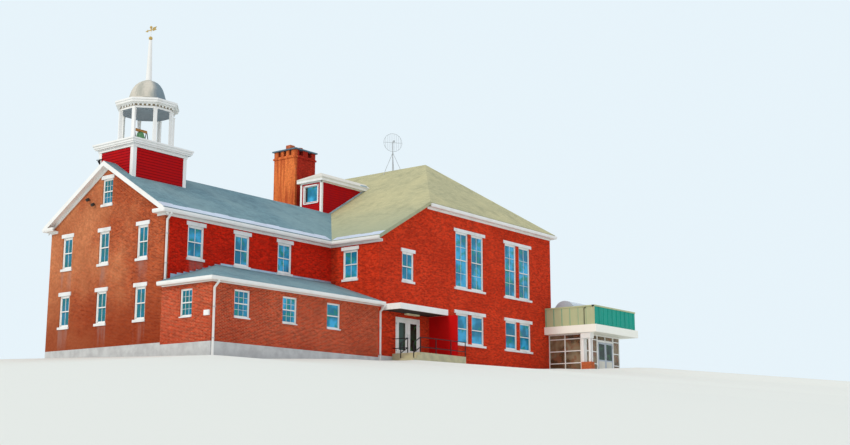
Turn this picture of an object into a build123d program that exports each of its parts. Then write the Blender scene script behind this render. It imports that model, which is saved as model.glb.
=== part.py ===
"""A brick school: a gabled wing with a belfry, a hip-roofed main block, a low annex and a glazed lobby.

Millimetres, +X east along the building, +Y north, +Z up. The origin is under the middle of the whole
building, at the lowest ground that its walls reach.
"""

import os
from collections import namedtuple
from math import cos, radians, sin

from build123d import *

os.makedirs("parts", exist_ok=True)

# Plan of the brick blocks, along X
wing_length = 12460
main_width = 18410
lobby_tuck = 370
lobby_length = 4800

# Plan of the brick blocks, along Y
wing_depth = 9270
annex_depth = 3600
main_depth = 19760
lobby_front_depth = 2730
lobby_back_depth = 6600

# Masonry and floors
brick_wall = 320
foundation_wall = 400
wing_foundation_top = 790
annex_foundation_top = 680
main_foundation_top = 790
ground_floor = 950
floor_thickness = 300
upper_floor = 4350
wing_attic_floor = 7420
main_attic_floor = 9500
annex_beam = 3400

# Eaves and verges
eave_out = 380
gutter_width = 100
verge_board = 30
roof_thickness = 220
frieze_drop = 310
annex_frieze_drop = 230
frieze_thickness = 30
soffit_drop = 190
soffit_thickness = 20
gutter_sheet = 10
return_length = 560
gutter_end = 200
rake_depth = 270
rake_frieze_depth = 165

# Wing and main roofs
wing_ridge_z = 10580
wing_eave_z = 7480
main_eave_z = 10100
main_slope = 0.63
catslide_east = 4690
main_hip_run = 5890

# Annex roof
annex_eave_z = 3750
annex_top_z = 5100
annex_roof_thickness = 150

# Windows
lintel_height = 200
lintel_proud = 40
stone_depth = 120
sill_height = 130
sill_proud = 60
frame_setback = 50
frame_depth = 90
frame_width = 65
slim_frame_width = 45
dormer_casing = 90
meeting_rail = 55
glass_thickness = 8
gable_window_width = 820
gable_ear = 110
gable_sill_ear = 60
gable_first = 1650
gable_pitch = 3075
attic_sill = 8310
attic_head = 9660
ground_sill = 2030
ground_head = 3690
upper_sill = 5150
upper_head = 6850
side_window_width = 1100
side_first = 2090
side_pitch = 3265
side_sill = 5230
side_head = 6900
main_window_width = 1320
main_ear = 180
pair_gap = 340
pair_first = 8850
pair_pitch = 5440
main_ground_sill = 2000
main_ground_head = 3820
main_upper_sill = 5400
main_upper_head = 8850
annex_window_width = 1050
annex_end_window_width = 850
annex_sill = 1950
annex_head = 3300
annex_sill_height = 60
annex_first = 2000
annex_pitch = 3355
over_annex_window_from = 1476
back_window_from = 2140
back_window_pitch = 2850
east_window_pitch = 6590

# Chimney
chimney_x = 4510
chimney_y = 7310
chimney_size = 1930
chimney_band_z = 14640
chimney_band_height = 120
chimney_band_out = 60
chimney_flue_z = 14830
chimney_flue_wall = 300
chimney_narrow_opening = 220
chimney_narrow_pitch = 480
chimney_narrow_openings = 3
chimney_wide_opening = 360
chimney_wide_pitch = 840
chimney_wide_openings = 2
chimney_top_z = 15180
chimney_cap_thickness = 80
chimney_cap_out = 110
pot_size = 420
pot_sides = 16
pot_wall = 60
pot_height = 380
pot_from_middle = 450

# Dormer
dormer_x = 4120
dormer_y = 4590
dormer_width = 1790
dormer_wall = 150
dormer_wall_top = 12580
dormer_slope = 0.5
dormer_out = 200
dormer_roof_thickness = 120
dormer_cornice_height = 260
dormer_window_width = 1230
dormer_window_sill = 11230
dormer_window_head = 12380

# Belfry
belfry_x = 2380
belfry_size = 3200
belfry_wall = 150
belfry_wall_top = 11320
belfry_cornice_height = 450
belfry_cornice_out = 450
belfry_cornice_steps = ((0, 0.35, 0.2), (0.35, 0.6, 0.75), (0.6, 1, 1))
belfry_post_size = 180
belfry_post_ring = 1330
belfry_post_top = 13730
belfry_drum_top = 14220
belfry_drum_ring = 1480
belfry_drum_cornice_out = 320
belfry_drum_steps = ((0, 0.42, 0), (0.42, 0.56, 0.35), (0.56, 0.8, 0.85), (0.8, 1, 1))
dome_ring = 1060
dome_top = 15640
dome_sheets = 9
dome_profile = ((0, 1), (0.12, 0.91), (0.35, 0.84), (0.6, 0.75), (0.8, 0.6), (0.93, 0.4), (1, 0.17))
spire_low_radius = 170
spire_top_radius = 90
spire_top = 18000
spire_sides = 16
ball_radius = 110
ball_bands = 6
ball_sides = 12
ball_flat = 40
rod_radius = 20
vane_z = 18520
vane_sleeve_height = 160
vane_sleeve_wall = 14
vane_running_gap = 0.5
vane_heading = 87
vane_length = 1000
vane_shaft = 45
vane_thickness = 20
vane_head_length = 230
vane_head_height = 150
vane_tail_length = 340
vane_tail_height = 190
vane_tail_notch = 90
vane_stop_radius = 40
finial_radius = 75

# Entrance
entrance_from = 1530
entrance_width = 2240
entrance_height = 2120
door_frame_width = 70
door_frame_depth = 120
door_gap = 8
leaf_gap = 10
leaf_thickness = 50
entrance_stile = 220
entrance_bottom_rail = 250
lobby_stile = 120
lobby_bottom_rail = 780
threshold_gap = 12
hinge_radius = 12
hinge_sides = 12
hinge_pin_radius = 7
hinge_clearance = 0.5
hinge_height = 90
hinge_inset = 260
hinge_plate = 50
hinge_plate_thickness = 4
hinge_plate_lap = 2
canopy_from = 240
canopy_width = 4450
canopy_out = 1380
canopy_z = 3320
canopy_height = 330
screen_x = 4690
screen_thickness = 230
screen_out = 1900
screen_top = 3320
landing_from = 1250
landing_out = 1990
landing_past_screen = 670
step_rise = 175
step_run = 310
step_count = 2
steps_width = 950
rail_height = 850
rail_drop = 540
rail_size = 40
front_posts = 3

# Lobby
lobby_floor = 850
lobby_wall = 200
lobby_soffit = 3270
lobby_fascia_height = 500
lobby_fascia_out = 550
lobby_porch_out = 1190
lobby_parapet_height = 1280
lobby_parapet_wall = 180
lobby_parapet_in = 150
mullion = 60
mullion_depth = 120
lobby_door_from = 1735
lobby_door_width = 2180
lobby_door_height = 2050
lobby_west_bays = 2
lobby_rail_drops = (330, 1130, 1930)
lobby_corner_post = 250
lobby_pier_from = 85
lobby_pier_width = 480
lobby_pier_top = 1340
lobby_post_size = 110
lobby_post_inset = 60
lobby_cap_height = 380
rooflight_from = 685
rooflight_y = 1170
rooflight_radius = 800
rooflight_curb = 980
rooflight_length = 3000

# Trim and fittings
spout_width = 90
spout_depth = 70
spout_from_corner = 130
spout_drop = 330
antenna_y = 8360
antenna_apex = 15950
antenna_top = 16750
antenna_leg_spread = 680
antenna_tube = 25
dish_z = 16650
dish_radius = 660
dish_sides = 24
dish_heading = 232
dish_bars = 4
dish_bar = 14
feed_reach = 380
feed_radius = 60

# Edges of the blocks, from the middle of the whole building
total_length = eave_out + wing_length + main_width - lobby_tuck + lobby_length + lobby_fascia_out
total_depth = lobby_porch_out + lobby_front_depth + main_depth + eave_out
wing_west = -total_length / 2 + eave_out
main_west = wing_west + wing_length
main_east = main_west + main_width
lobby_west = main_east - lobby_tuck
lobby_east = lobby_west + lobby_length
lobby_south = -total_depth / 2 + lobby_porch_out
main_south = lobby_south + lobby_front_depth
main_north = main_south + main_depth
wing_south = main_south + annex_depth
wing_north = wing_south + wing_depth
lobby_north = main_south + lobby_back_depth
wing_middle = (wing_south + wing_north) / 2

# Roof lines that follow from the plan
slab_out = eave_out - gutter_width
wing_slope = (wing_ridge_z - wing_eave_z) / (wing_depth / 2 + eave_out)
main_west_eave_x = main_west + catslide_east - eave_out
main_half_span = (main_east + eave_out - main_west_eave_x) / 2
main_ridge_x = main_west_eave_x + main_half_span
main_ridge_z = main_eave_z + main_slope * main_half_span
main_hip_slope = (main_ridge_z - main_eave_z) / main_hip_run
catslide_x = main_west + catslide_east
catslide_top_z = main_eave_z + main_slope * eave_out
catslide_slope = (catslide_top_z - wing_eave_z) / (catslide_east + eave_out)
annex_slope = (annex_top_z - annex_eave_z) / (annex_depth + eave_out)
beyond = 1000

Face = namedtuple("Face", "plane inward")
Window = namedtuple("Window", "face at width count sill head ear sill_ear lintel sill_height border rows")

gable_face = Face(Plane.YZ.offset(wing_west), 1)
wing_south_face = Face(Plane.XZ.offset(-wing_south), -1)
wing_north_face = Face(Plane.XZ.offset(-wing_north), 1)
front_face = Face(Plane.XZ.offset(-main_south), -1)
main_west_face = Face(Plane.YZ.offset(main_west), 1)
main_east_face = Face(Plane.YZ.offset(main_east), -1)
main_north_face = Face(Plane.XZ.offset(-main_north), 1)
dormer_face = Face(Plane.YZ.offset(main_west + dormer_x), 1)


def brick_window(face, at, width, sill, head, ear=gable_ear, sill_ear=gable_sill_ear, count=1):
    """A window with a flat lintel and a deep sill, or a pair of them under one lintel."""
    return Window(face, at, width, count, sill, head, ear, sill_ear, lintel_height, sill_height,
                  frame_width, rows=2)


def plain_window(face, at, width, sill, head, border, rows):
    """A window with no lintel and a thin sill."""
    return Window(face, at, width, 1, sill, head, 0, 0, 0, annex_sill_height, border, rows)


def side_window(face, at, sill, head):
    """One of the wing's side windows."""
    return brick_window(face, at, side_window_width, sill, head)


def main_pair(face, at, sill, head):
    """A pair of the main block's wide windows."""
    return brick_window(face, at, main_window_width, sill, head, main_ear, main_ear, count=2)


storeys = [(ground_sill, ground_head), (upper_sill, upper_head)]
side_storeys = [(ground_sill, ground_head), (side_sill, side_head)]
main_storeys = [(main_ground_sill, main_ground_head), (main_upper_sill, main_upper_head)]

gable_windows = [
    brick_window(gable_face, wing_south + gable_first + column * gable_pitch, gable_window_width, low, high)
    for column in range(3)
    for low, high in storeys
]
gable_windows.append(brick_window(gable_face, wing_middle, gable_window_width, attic_sill, attic_head))

side_columns = [wing_west + side_first + column * side_pitch for column in range(3)]
wing_south_windows = [side_window(wing_south_face, x, side_sill, side_head) for x in side_columns]
wing_north_windows = [
    side_window(wing_north_face, x, low, high) for x in side_columns for low, high in side_storeys
]

annex_windows = [
    plain_window(front_face, wing_west + annex_first + column * annex_pitch, annex_window_width,
                 annex_sill, annex_head, slim_frame_width, 2)
    for column in range(3)
]
annex_end_y = wing_south - annex_depth / 2
annex_end_windows = [
    plain_window(gable_face, annex_end_y, annex_end_window_width, annex_sill, annex_head, slim_frame_width, 2)
]

pair_columns = [main_west + pair_first + column * pair_pitch for column in range(2)]
entrance_middle = main_west + entrance_from + entrance_width / 2
front_pairs = [main_pair(front_face, x, low, high) for x in pair_columns for low, high in main_storeys]
over_door_windows = [side_window(front_face, entrance_middle, side_sill, side_head)]
main_west_windows = [side_window(main_west_face, wing_south - over_annex_window_from, side_sill, side_head)]
main_west_windows += [
    side_window(main_west_face, wing_north + back_window_from + column * back_window_pitch, low, high)
    for column in range(2)
    for low, high in side_storeys
]
main_middle_y = (main_south + main_north) / 2
east_columns = [main_middle_y + step * east_window_pitch for step in (-1, 0, 1)]
main_east_windows = [main_pair(main_east_face, y, main_upper_sill, main_upper_head) for y in east_columns]
main_east_windows += [
    main_pair(main_east_face, y, main_ground_sill, main_ground_head) for y in east_columns[1:]
]
main_north_windows = [
    main_pair(main_north_face, x, low, high) for x in pair_columns for low, high in main_storeys
]
main_north_windows += [side_window(main_north_face, entrance_middle, low, high) for low, high in side_storeys]

dormer_window = plain_window(dormer_face, wing_south + dormer_y + dormer_width / 2,
                             dormer_window_width, dormer_window_sill, dormer_window_head, dormer_casing, 1)

all_windows = (
    gable_windows + wing_south_windows + wing_north_windows + annex_windows + annex_end_windows
    + front_pairs + over_door_windows + main_west_windows + main_east_windows + main_north_windows
    + [dormer_window]
)


def frame_centres(window):
    """Where along its wall each frame of a window stands."""
    pitch = window.width + pair_gap
    return [window.at + (index - (window.count - 1) / 2) * pitch for index in range(window.count)]


def stone_width(window, ear):
    """Length of a lintel or a sill over all frames of a window, with an ear past each end."""
    return window.count * window.width + (window.count - 1) * pair_gap + 2 * ear


def pane_height(window):
    """Height of each sheet of glass in a window's frame."""
    return (window.head - window.sill - 2 * window.border - (window.rows - 1) * meeting_rail) / window.rows


def block(x_low, x_high, y_low, y_high, z_low, z_high, mode=Mode.ADD):
    """A square-edged block between two corners."""
    with BuildSketch(Plane.XY.offset(z_low)) as plan:
        with Locations(((x_low + x_high) / 2, (y_low + y_high) / 2)):
            Rectangle(x_high - x_low, y_high - y_low)
    extrude(plan.sketch, amount=z_high - z_low, mode=mode)


def cut_windows(windows):
    """Cut openings through the wall being built, and the pockets of their lintels and sills."""
    face = windows[0].face
    with BuildSketch(face.plane) as openings:
        for window in windows:
            for at in frame_centres(window):
                with Locations((at, (window.sill + window.head) / 2)):
                    Rectangle(window.width, window.head - window.sill)
    extrude(openings.sketch, amount=face.inward * brick_wall, mode=Mode.SUBTRACT)
    with BuildSketch(face.plane) as pockets:
        for window in windows:
            with Locations((window.at, window.sill - window.sill_height / 2)):
                Rectangle(stone_width(window, window.sill_ear), window.sill_height)
            if window.lintel:
                with Locations((window.at, window.head + window.lintel / 2)):
                    Rectangle(stone_width(window, window.ear), window.lintel)
    extrude(pockets.sketch, amount=face.inward * stone_depth, mode=Mode.SUBTRACT)


def save(part, name):
    """Name a finished piece and write its file."""
    part.label = name
    export_step(part, f"parts/{name}.step")


def main_roof_volume(drop, spread):
    """Everything under the main roof's surface, lowered by drop and reaching out past its edges by spread."""
    west_z = wing_eave_z - drop - catslide_slope * (spread - gutter_width)
    edge_z = main_eave_z - drop - main_slope * (spread - gutter_width)
    hip_edge_z = main_eave_z - drop - main_hip_slope * (spread - gutter_width)
    west_x = main_west - slab_out - spread
    east_x = main_east + slab_out + spread
    south_y = main_south - slab_out - spread
    north_y = main_north + slab_out + spread
    with BuildPart() as volume:
        with BuildSketch(Plane.XZ.offset(-south_y)) as across:
            with BuildLine():
                Polyline((west_x, 0), (west_x, west_z), (catslide_x, catslide_top_z - drop),
                         (main_ridge_x, main_ridge_z - drop), (east_x, edge_z), (east_x, 0), close=True)
            make_face()
        extrude(across.sketch, amount=south_y - north_y)
        with BuildSketch(Plane.YZ.offset(west_x)) as along:
            with BuildLine():
                Polyline((south_y, 0), (south_y, hip_edge_z),
                         (main_south - eave_out + main_hip_run, main_ridge_z - drop),
                         (main_north + eave_out - main_hip_run, main_ridge_z - drop),
                         (north_y, hip_edge_z), (north_y, 0), close=True)
            make_face()
        extrude(along.sketch, amount=east_x - west_x, mode=Mode.INTERSECT)
    return volume.part


def wing_roof_volume(drop, spread, west_x):
    """Everything under the wing roof's surface, from west_x to inside the main roof."""
    edge_z = wing_eave_z + wing_slope * (gutter_width - spread) - drop
    with BuildPart() as volume:
        with BuildSketch(Plane.YZ.offset(west_x)) as across:
            with BuildLine():
                Polyline((wing_south - slab_out - spread, 0), (wing_south - slab_out - spread, edge_z),
                         (wing_middle, wing_ridge_z - drop),
                         (wing_north + slab_out + spread, edge_z), (wing_north + slab_out + spread, 0),
                         close=True)
            make_face()
        extrude(across.sketch, amount=catslide_x + beyond - west_x)
    return volume.part


def annex_roof_volume(drop, spread):
    """Everything under the annex roof's surface, hipped at its west end."""
    edge_z = annex_eave_z - drop - annex_slope * (spread - gutter_width)
    west_x = wing_west - slab_out - spread
    south_y = main_south - slab_out - spread
    run = wing_south - south_y
    with BuildPart() as volume:
        with BuildSketch(Plane.YZ.offset(west_x)) as across:
            with BuildLine():
                Polyline((south_y, 0), (south_y, edge_z), (wing_south, edge_z + annex_slope * run),
                         (wing_south, 0), close=True)
            make_face()
        extrude(across.sketch, amount=main_west - west_x)
        with BuildSketch(Plane.XZ.offset(-wing_south)) as along:
            with BuildLine():
                Polyline((west_x, 0), (west_x, edge_z), (west_x + run, edge_z + annex_slope * run),
                         (main_west, edge_z + annex_slope * run), (main_west, 0), close=True)
            make_face()
        extrude(along.sketch, amount=run, mode=Mode.INTERSECT)
    return volume.part


main_outer = main_roof_volume(0, 0)
main_inner = main_roof_volume(roof_thickness, beyond)
wing_outer = wing_roof_volume(0, 0, wing_west - eave_out + verge_board)
wing_inner = wing_roof_volume(roof_thickness, beyond, wing_west - beyond)
annex_outer = annex_roof_volume(0, 0)
annex_inner = annex_roof_volume(annex_roof_thickness, beyond)

chimney_low_x = main_west + chimney_x
chimney_low_y = wing_south + chimney_y
chimney_middle = (chimney_low_x + chimney_size / 2, chimney_low_y + chimney_size / 2)
dormer_west = main_west + dormer_x
dormer_low_y = wing_south + dormer_y
dormer_middle_y = dormer_low_y + dormer_width / 2
dormer_east = main_west_eave_x + (dormer_wall_top - main_eave_z) / main_slope


# Foundations, each poured with its ground floor

def base(name, x_low, x_high, y_low, y_high, top, open_east, slabs):
    """A ring of foundation wall under a block, with the ground floor slab it carries."""
    inner_east = x_high if open_east else x_high - foundation_wall
    with BuildPart() as piece:
        block(x_low, x_high, y_low, y_high, 0, top)
        block(x_low + foundation_wall, inner_east, y_low + foundation_wall, y_high - foundation_wall,
              0, ground_floor - floor_thickness, mode=Mode.SUBTRACT)
        block(x_low + brick_wall, x_high - (0 if open_east else brick_wall), y_low + brick_wall,
              y_high - brick_wall, ground_floor - floor_thickness, top, mode=Mode.SUBTRACT)
        for slab in slabs:
            block(*slab, ground_floor - floor_thickness, ground_floor)
    save(piece.part, name)


base("wing_base", wing_west, main_west, wing_south, wing_north, wing_foundation_top, True,
     [(wing_west + brick_wall, main_west, wing_south + brick_wall, wing_north - brick_wall)])

with BuildPart() as annex_base:
    block(wing_west, main_west, main_south, wing_south, 0, annex_foundation_top)
    block(wing_west + foundation_wall, main_west, main_south + foundation_wall, wing_south,
          0, ground_floor - floor_thickness, mode=Mode.SUBTRACT)
    block(wing_west + brick_wall, main_west, main_south + brick_wall, wing_south,
          ground_floor - floor_thickness, ground_floor)
save(annex_base.part, "annex_base")

base("main_base", main_west, main_east, main_south, main_north, main_foundation_top, False,
     [(main_west + brick_wall, main_east - brick_wall, main_south + brick_wall, main_north - brick_wall),
      (main_west, main_west + brick_wall, main_south + brick_wall, wing_north - brick_wall)])


def lobby_plan(inset):
    """Outline of the lobby, which wraps the main block's south-east corner."""
    Polyline((lobby_west + inset, main_south), (lobby_west + inset, lobby_south + inset),
             (lobby_east - inset, lobby_south + inset), (lobby_east - inset, lobby_north - inset),
             (main_east, lobby_north - inset), (main_east, main_south), close=True)


with BuildPart() as lobby_base:
    with BuildSketch(Plane.XY):
        with BuildLine():
            lobby_plan(0)
        make_face()
    extrude(amount=lobby_floor)
    with BuildSketch(Plane.XY):
        with BuildLine():
            lobby_plan(foundation_wall)
        make_face()
    extrude(amount=lobby_floor - floor_thickness, mode=Mode.SUBTRACT)
save(lobby_base.part, "lobby_base")

# Upper floors, of the wing and of the main block
with BuildPart() as wing_floors:
    for top in (upper_floor, wing_attic_floor):
        block(wing_west + brick_wall, main_west, wing_south + brick_wall, wing_north - brick_wall,
              top - floor_thickness, top)
save(wing_floors.part, "wing_upper_floors")

attic_floor_drop = catslide_top_z - roof_thickness - main_attic_floor
attic_floor_west = catslide_x - attic_floor_drop / catslide_slope + brick_wall / 2
with BuildPart() as main_floors:
    block(main_west + brick_wall, main_east - brick_wall, main_south + brick_wall, main_north - brick_wall,
          upper_floor - floor_thickness, upper_floor)
    block(main_west, main_west + brick_wall, wing_south + brick_wall, wing_north - brick_wall,
          upper_floor - floor_thickness, upper_floor)
    block(attic_floor_west, main_east - brick_wall, main_south + brick_wall, main_north - brick_wall,
          main_attic_floor - floor_thickness, main_attic_floor)
    block(chimney_low_x, chimney_low_x + chimney_size, chimney_low_y, chimney_low_y + chimney_size,
          ground_floor, main_attic_floor, mode=Mode.SUBTRACT)
save(main_floors.part, "main_upper_floors")

# Brick walls of the wing
with BuildPart() as gable_wall:
    block(wing_west, wing_west + brick_wall, wing_south, wing_north, wing_foundation_top, wing_ridge_z)
    add(wing_inner, mode=Mode.INTERSECT)
    cut_windows(gable_windows)
save(gable_wall.part, "gable_wall")

with BuildPart() as wing_side_walls:
    for low_y in (wing_south, wing_north - brick_wall):
        block(wing_west + brick_wall, main_west, low_y, low_y + brick_wall, wing_foundation_top, wing_ridge_z)
    add(wing_inner, mode=Mode.INTERSECT)
    cut_windows(wing_south_windows)
    cut_windows(wing_north_windows)
save(wing_side_walls.part, "wing_side_walls")

# Brick walls of the annex
with BuildPart() as annex_west_wall:
    block(wing_west, wing_west + brick_wall, main_south, wing_south, annex_foundation_top, annex_top_z)
    add(annex_inner, mode=Mode.INTERSECT)
    cut_windows(annex_end_windows)
save(annex_west_wall.part, "annex_west_wall")

with BuildPart() as annex_south_wall:
    block(wing_west + brick_wall, main_west, main_south, main_south + brick_wall,
          annex_foundation_top, annex_top_z)
    add(annex_inner, mode=Mode.INTERSECT)
    cut_windows(annex_windows)
save(annex_south_wall.part, "annex_south_wall")

# Brick walls of the main block; the front wall is split beside and over the doorway
entrance_low_x = main_west + entrance_from
entrance_high_x = entrance_low_x + entrance_width
entrance_head = ground_floor + entrance_height

with BuildPart() as front_wall_over:
    block(entrance_low_x, entrance_high_x, main_south, main_south + brick_wall, entrance_head, main_ridge_z)
    add(main_inner, mode=Mode.INTERSECT)
    cut_windows(over_door_windows)
save(front_wall_over.part, "front_wall_over_doors")

with BuildPart() as front_wall:
    for low_x, high_x in ((main_west, entrance_low_x), (entrance_high_x, main_east)):
        block(low_x, high_x, main_south, main_south + brick_wall, main_foundation_top, main_ridge_z)
    add(main_inner, mode=Mode.INTERSECT)
    cut_windows(front_pairs)
save(front_wall.part, "front_wall")

with BuildPart() as main_west_wall:
    block(main_west, main_west + brick_wall, main_south + brick_wall, wing_south + brick_wall,
          annex_beam, main_ridge_z)
    block(main_west, main_west + brick_wall, wing_north - brick_wall, main_north - brick_wall,
          main_foundation_top, main_ridge_z)
    add(main_inner, mode=Mode.INTERSECT)
    cut_windows(main_west_windows)
save(main_west_wall.part, "main_west_wall")

with BuildPart() as main_east_wall:
    block(main_east - brick_wall, main_east, main_south + brick_wall, main_north - brick_wall,
          main_foundation_top, main_ridge_z)
    add(main_inner, mode=Mode.INTERSECT)
    cut_windows(main_east_windows)
save(main_east_wall.part, "main_east_wall")

with BuildPart() as main_north_wall:
    block(main_west, main_east, main_north - brick_wall, main_north, main_foundation_top, main_ridge_z)
    add(main_inner, mode=Mode.INTERSECT)
    cut_windows(main_north_windows)
save(main_north_wall.part, "main_north_wall")

# Roofs, each a slab of one thickness under its surface
with BuildPart() as wing_roof:
    add(wing_outer)
    add(wing_inner, mode=Mode.SUBTRACT)
    add(main_outer, mode=Mode.SUBTRACT)
for name, side in (("wing_roof_south", Keep.TOP), ("wing_roof_north", Keep.BOTTOM)):
    with BuildPart() as slope:
        add(wing_roof.part)
        split(bisect_by=Plane.XZ.offset(-wing_middle), keep=side)
    save(slope.part, name)

with BuildPart() as wing_space:
    block(wing_west, catslide_x + beyond, wing_south, wing_north, wing_eave_z - roof_thickness, wing_ridge_z)
    add(wing_inner, mode=Mode.INTERSECT)

with BuildPart() as main_shell:
    add(main_outer)
    add(main_inner, mode=Mode.SUBTRACT)
    add(wing_space.part, mode=Mode.SUBTRACT)
    block(chimney_low_x, chimney_low_x + chimney_size, chimney_low_y, chimney_low_y + chimney_size,
          0, main_ridge_z, mode=Mode.SUBTRACT)
    block(catslide_x, dormer_east, dormer_low_y + dormer_wall, dormer_low_y + dormer_width - dormer_wall,
          0, dormer_wall_top, mode=Mode.SUBTRACT)
for name, side in (("catslide_roof", Keep.BOTTOM), ("main_roof", Keep.TOP)):
    with BuildPart() as half:
        add(main_shell.part)
        split(bisect_by=Plane.YZ.offset(catslide_x), keep=side)
    save(half.part, name)

with BuildPart() as annex_roof:
    add(annex_outer)
    add(annex_inner, mode=Mode.SUBTRACT)
save(annex_roof.part, "annex_roof")


# Boxed cornices with their gutters, and the raking boards of the gable

def eave_profile(frieze):
    """Cross-section of a cornice: frieze board, soffit and gutter, measured out and up from the wall."""
    bottom = -soffit_drop
    lip = eave_out - gutter_sheet
    with BuildLine() as outline:
        Polyline((0, -frieze), (frieze_thickness, -frieze), (frieze_thickness, bottom),
                 (eave_out - 35, bottom), (eave_out, bottom + 85), (eave_out, 0), (lip, 0),
                 (lip, bottom + 90), (eave_out - 42, bottom + soffit_thickness),
                 (slab_out + gutter_sheet, bottom + soffit_thickness), (slab_out + gutter_sheet, 0),
                 (slab_out, 0), (slab_out, bottom + soffit_thickness), (0, bottom + soffit_thickness),
                 close=True)
    make_face(outline.edges())


def eave_run(points, z, frieze):
    """A cornice along a wall line; the outside lies to the left of the way it runs."""
    start = Vector(*points[0], z)
    tangent = (Vector(*points[1], z) - start).normalized()
    outward = Vector(0, 0, 1).cross(tangent)
    with BuildLine() as line:
        Polyline(*[(x, y, z) for x, y in points])
    with BuildSketch(Plane(origin=start, x_dir=outward, z_dir=tangent)) as profile:
        eave_profile(frieze)
    sweep(profile.sketch, path=line.line, transition=Transition.RIGHT)


south_end = main_south - slab_out
north_end = main_north + slab_out
main_cornice_x = catslide_x - eave_out / 2

with BuildPart() as cornices:
    eave_run([(main_west, south_end), (main_west, wing_south), (wing_west, wing_south),
              (wing_west, wing_south + return_length)], wing_eave_z, frieze_drop)
    eave_run([(wing_west, wing_north - return_length), (wing_west, wing_north), (main_west, wing_north),
              (main_west, north_end)], wing_eave_z, frieze_drop)
    eave_run([(main_cornice_x, main_north), (main_east, main_north), (main_east, main_south),
              (main_cornice_x, main_south)], main_eave_z, frieze_drop)
    eave_run([(main_west + gutter_end, main_south), (wing_west, main_south), (wing_west, wing_south)],
             annex_eave_z, annex_frieze_drop)
    for west_x, thickness, top_drop, depth in (
        (wing_west - eave_out, verge_board, 0, rake_depth),
        (wing_west - frieze_thickness, frieze_thickness, roof_thickness, rake_frieze_depth),
        (wing_west - eave_out + verge_board, eave_out - verge_board, roof_thickness, soffit_thickness),
    ):
        with BuildSketch(Plane.YZ.offset(west_x)):
            with BuildLine():
                Polyline(
                    (wing_south - slab_out, wing_eave_z + wing_slope * gutter_width - top_drop),
                    (wing_middle, wing_ridge_z - top_drop),
                    (wing_north + slab_out, wing_eave_z + wing_slope * gutter_width - top_drop),
                    (wing_north + slab_out, wing_eave_z + wing_slope * gutter_width - top_drop - depth),
                    (wing_middle, wing_ridge_z - top_drop - depth),
                    (wing_south - slab_out, wing_eave_z + wing_slope * gutter_width - top_drop - depth),
                    close=True)
            make_face()
        extrude(amount=thickness)
    add(wing_roof.part, mode=Mode.SUBTRACT)
    add(main_shell.part, mode=Mode.SUBTRACT)
    add(annex_roof.part, mode=Mode.SUBTRACT)
save(cornices.part, "cornices")


# Windows: frames, glass, lintels and sills

def frame_plane(window, depth):
    """The wall's face plane, moved into the wall by depth."""
    return window.face.plane.offset(window.face.inward * depth)


with BuildPart() as window_frames:
    for window in all_windows:
        for at in frame_centres(window):
            with BuildSketch(frame_plane(window, frame_setback)):
                with Locations((at, (window.sill + window.head) / 2)):
                    Rectangle(window.width, window.head - window.sill)
                    with GridLocations(0, pane_height(window) + meeting_rail, 1, window.rows):
                        Rectangle(window.width - 2 * window.border, pane_height(window), mode=Mode.SUBTRACT)
            extrude(amount=window.face.inward * frame_depth)
save(window_frames.part, "window_frames")

with BuildPart() as window_glass:
    for window in all_windows:
        for at in frame_centres(window):
            with BuildSketch(frame_plane(window, frame_setback + frame_depth / 2)):
                with Locations((at, (window.sill + window.head) / 2)):
                    with GridLocations(0, pane_height(window) + meeting_rail, 1, window.rows):
                        Rectangle(window.width - 2 * window.border, pane_height(window))
            extrude(amount=window.face.inward * glass_thickness)
save(window_glass.part, "window_glass")

with BuildPart() as window_stones:
    for window in all_windows:
        if window.lintel:
            with BuildSketch(frame_plane(window, -lintel_proud)):
                with Locations((window.at, window.head + window.lintel / 2)):
                    Rectangle(stone_width(window, window.ear), window.lintel)
            extrude(amount=window.face.inward * (lintel_proud + stone_depth))
        with BuildSketch(frame_plane(window, -sill_proud)):
            with Locations((window.at, window.sill - window.sill_height / 2)):
                Rectangle(stone_width(window, window.sill_ear), window.sill_height)
        extrude(amount=window.face.inward * (sill_proud + stone_depth))
save(window_stones.part, "lintels_and_sills")

# Dormer on the west slope
with BuildPart() as dormer_walls:
    block(dormer_west, dormer_east, dormer_low_y, dormer_low_y + dormer_width,
          main_eave_z - beyond, dormer_wall_top)
    block(dormer_west + dormer_wall, dormer_east, dormer_low_y + dormer_wall,
          dormer_low_y + dormer_width - dormer_wall, main_eave_z - beyond, dormer_wall_top,
          mode=Mode.SUBTRACT)
    add(main_outer, mode=Mode.SUBTRACT)
    add(wing_outer, mode=Mode.SUBTRACT)
    cut_windows([dormer_window])
save(dormer_walls.part, "dormer_walls")


def dormer_roof_volume(drop, spread):
    """Everything under the dormer's low hipped roof."""
    half = dormer_width / 2 + dormer_out + spread
    edge_z = dormer_wall_top + dormer_cornice_height - drop - dormer_slope * spread
    top_z = edge_z + dormer_slope * half
    west_x = dormer_west - dormer_out - spread
    east_x = main_ridge_x
    with BuildPart() as volume:
        with BuildSketch(Plane.YZ.offset(west_x)) as across:
            with BuildLine():
                Polyline((dormer_middle_y - half, 0), (dormer_middle_y - half, edge_z),
                         (dormer_middle_y, top_z), (dormer_middle_y + half, edge_z),
                         (dormer_middle_y + half, 0), close=True)
            make_face()
        extrude(across.sketch, amount=east_x - west_x)
        with BuildSketch(Plane.XZ.offset(-(dormer_middle_y - half))) as along:
            with BuildLine():
                Polyline((west_x, 0), (west_x, edge_z), (west_x + half, top_z), (east_x, top_z), (east_x, 0),
                         close=True)
            make_face()
        extrude(along.sketch, amount=-2 * half, mode=Mode.INTERSECT)
    return volume.part


with BuildPart() as dormer_roof:
    add(dormer_roof_volume(0, 0))
    add(dormer_roof_volume(dormer_roof_thickness, beyond), mode=Mode.SUBTRACT)
    add(main_outer, mode=Mode.SUBTRACT)
save(dormer_roof.part, "dormer_roof")

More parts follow.
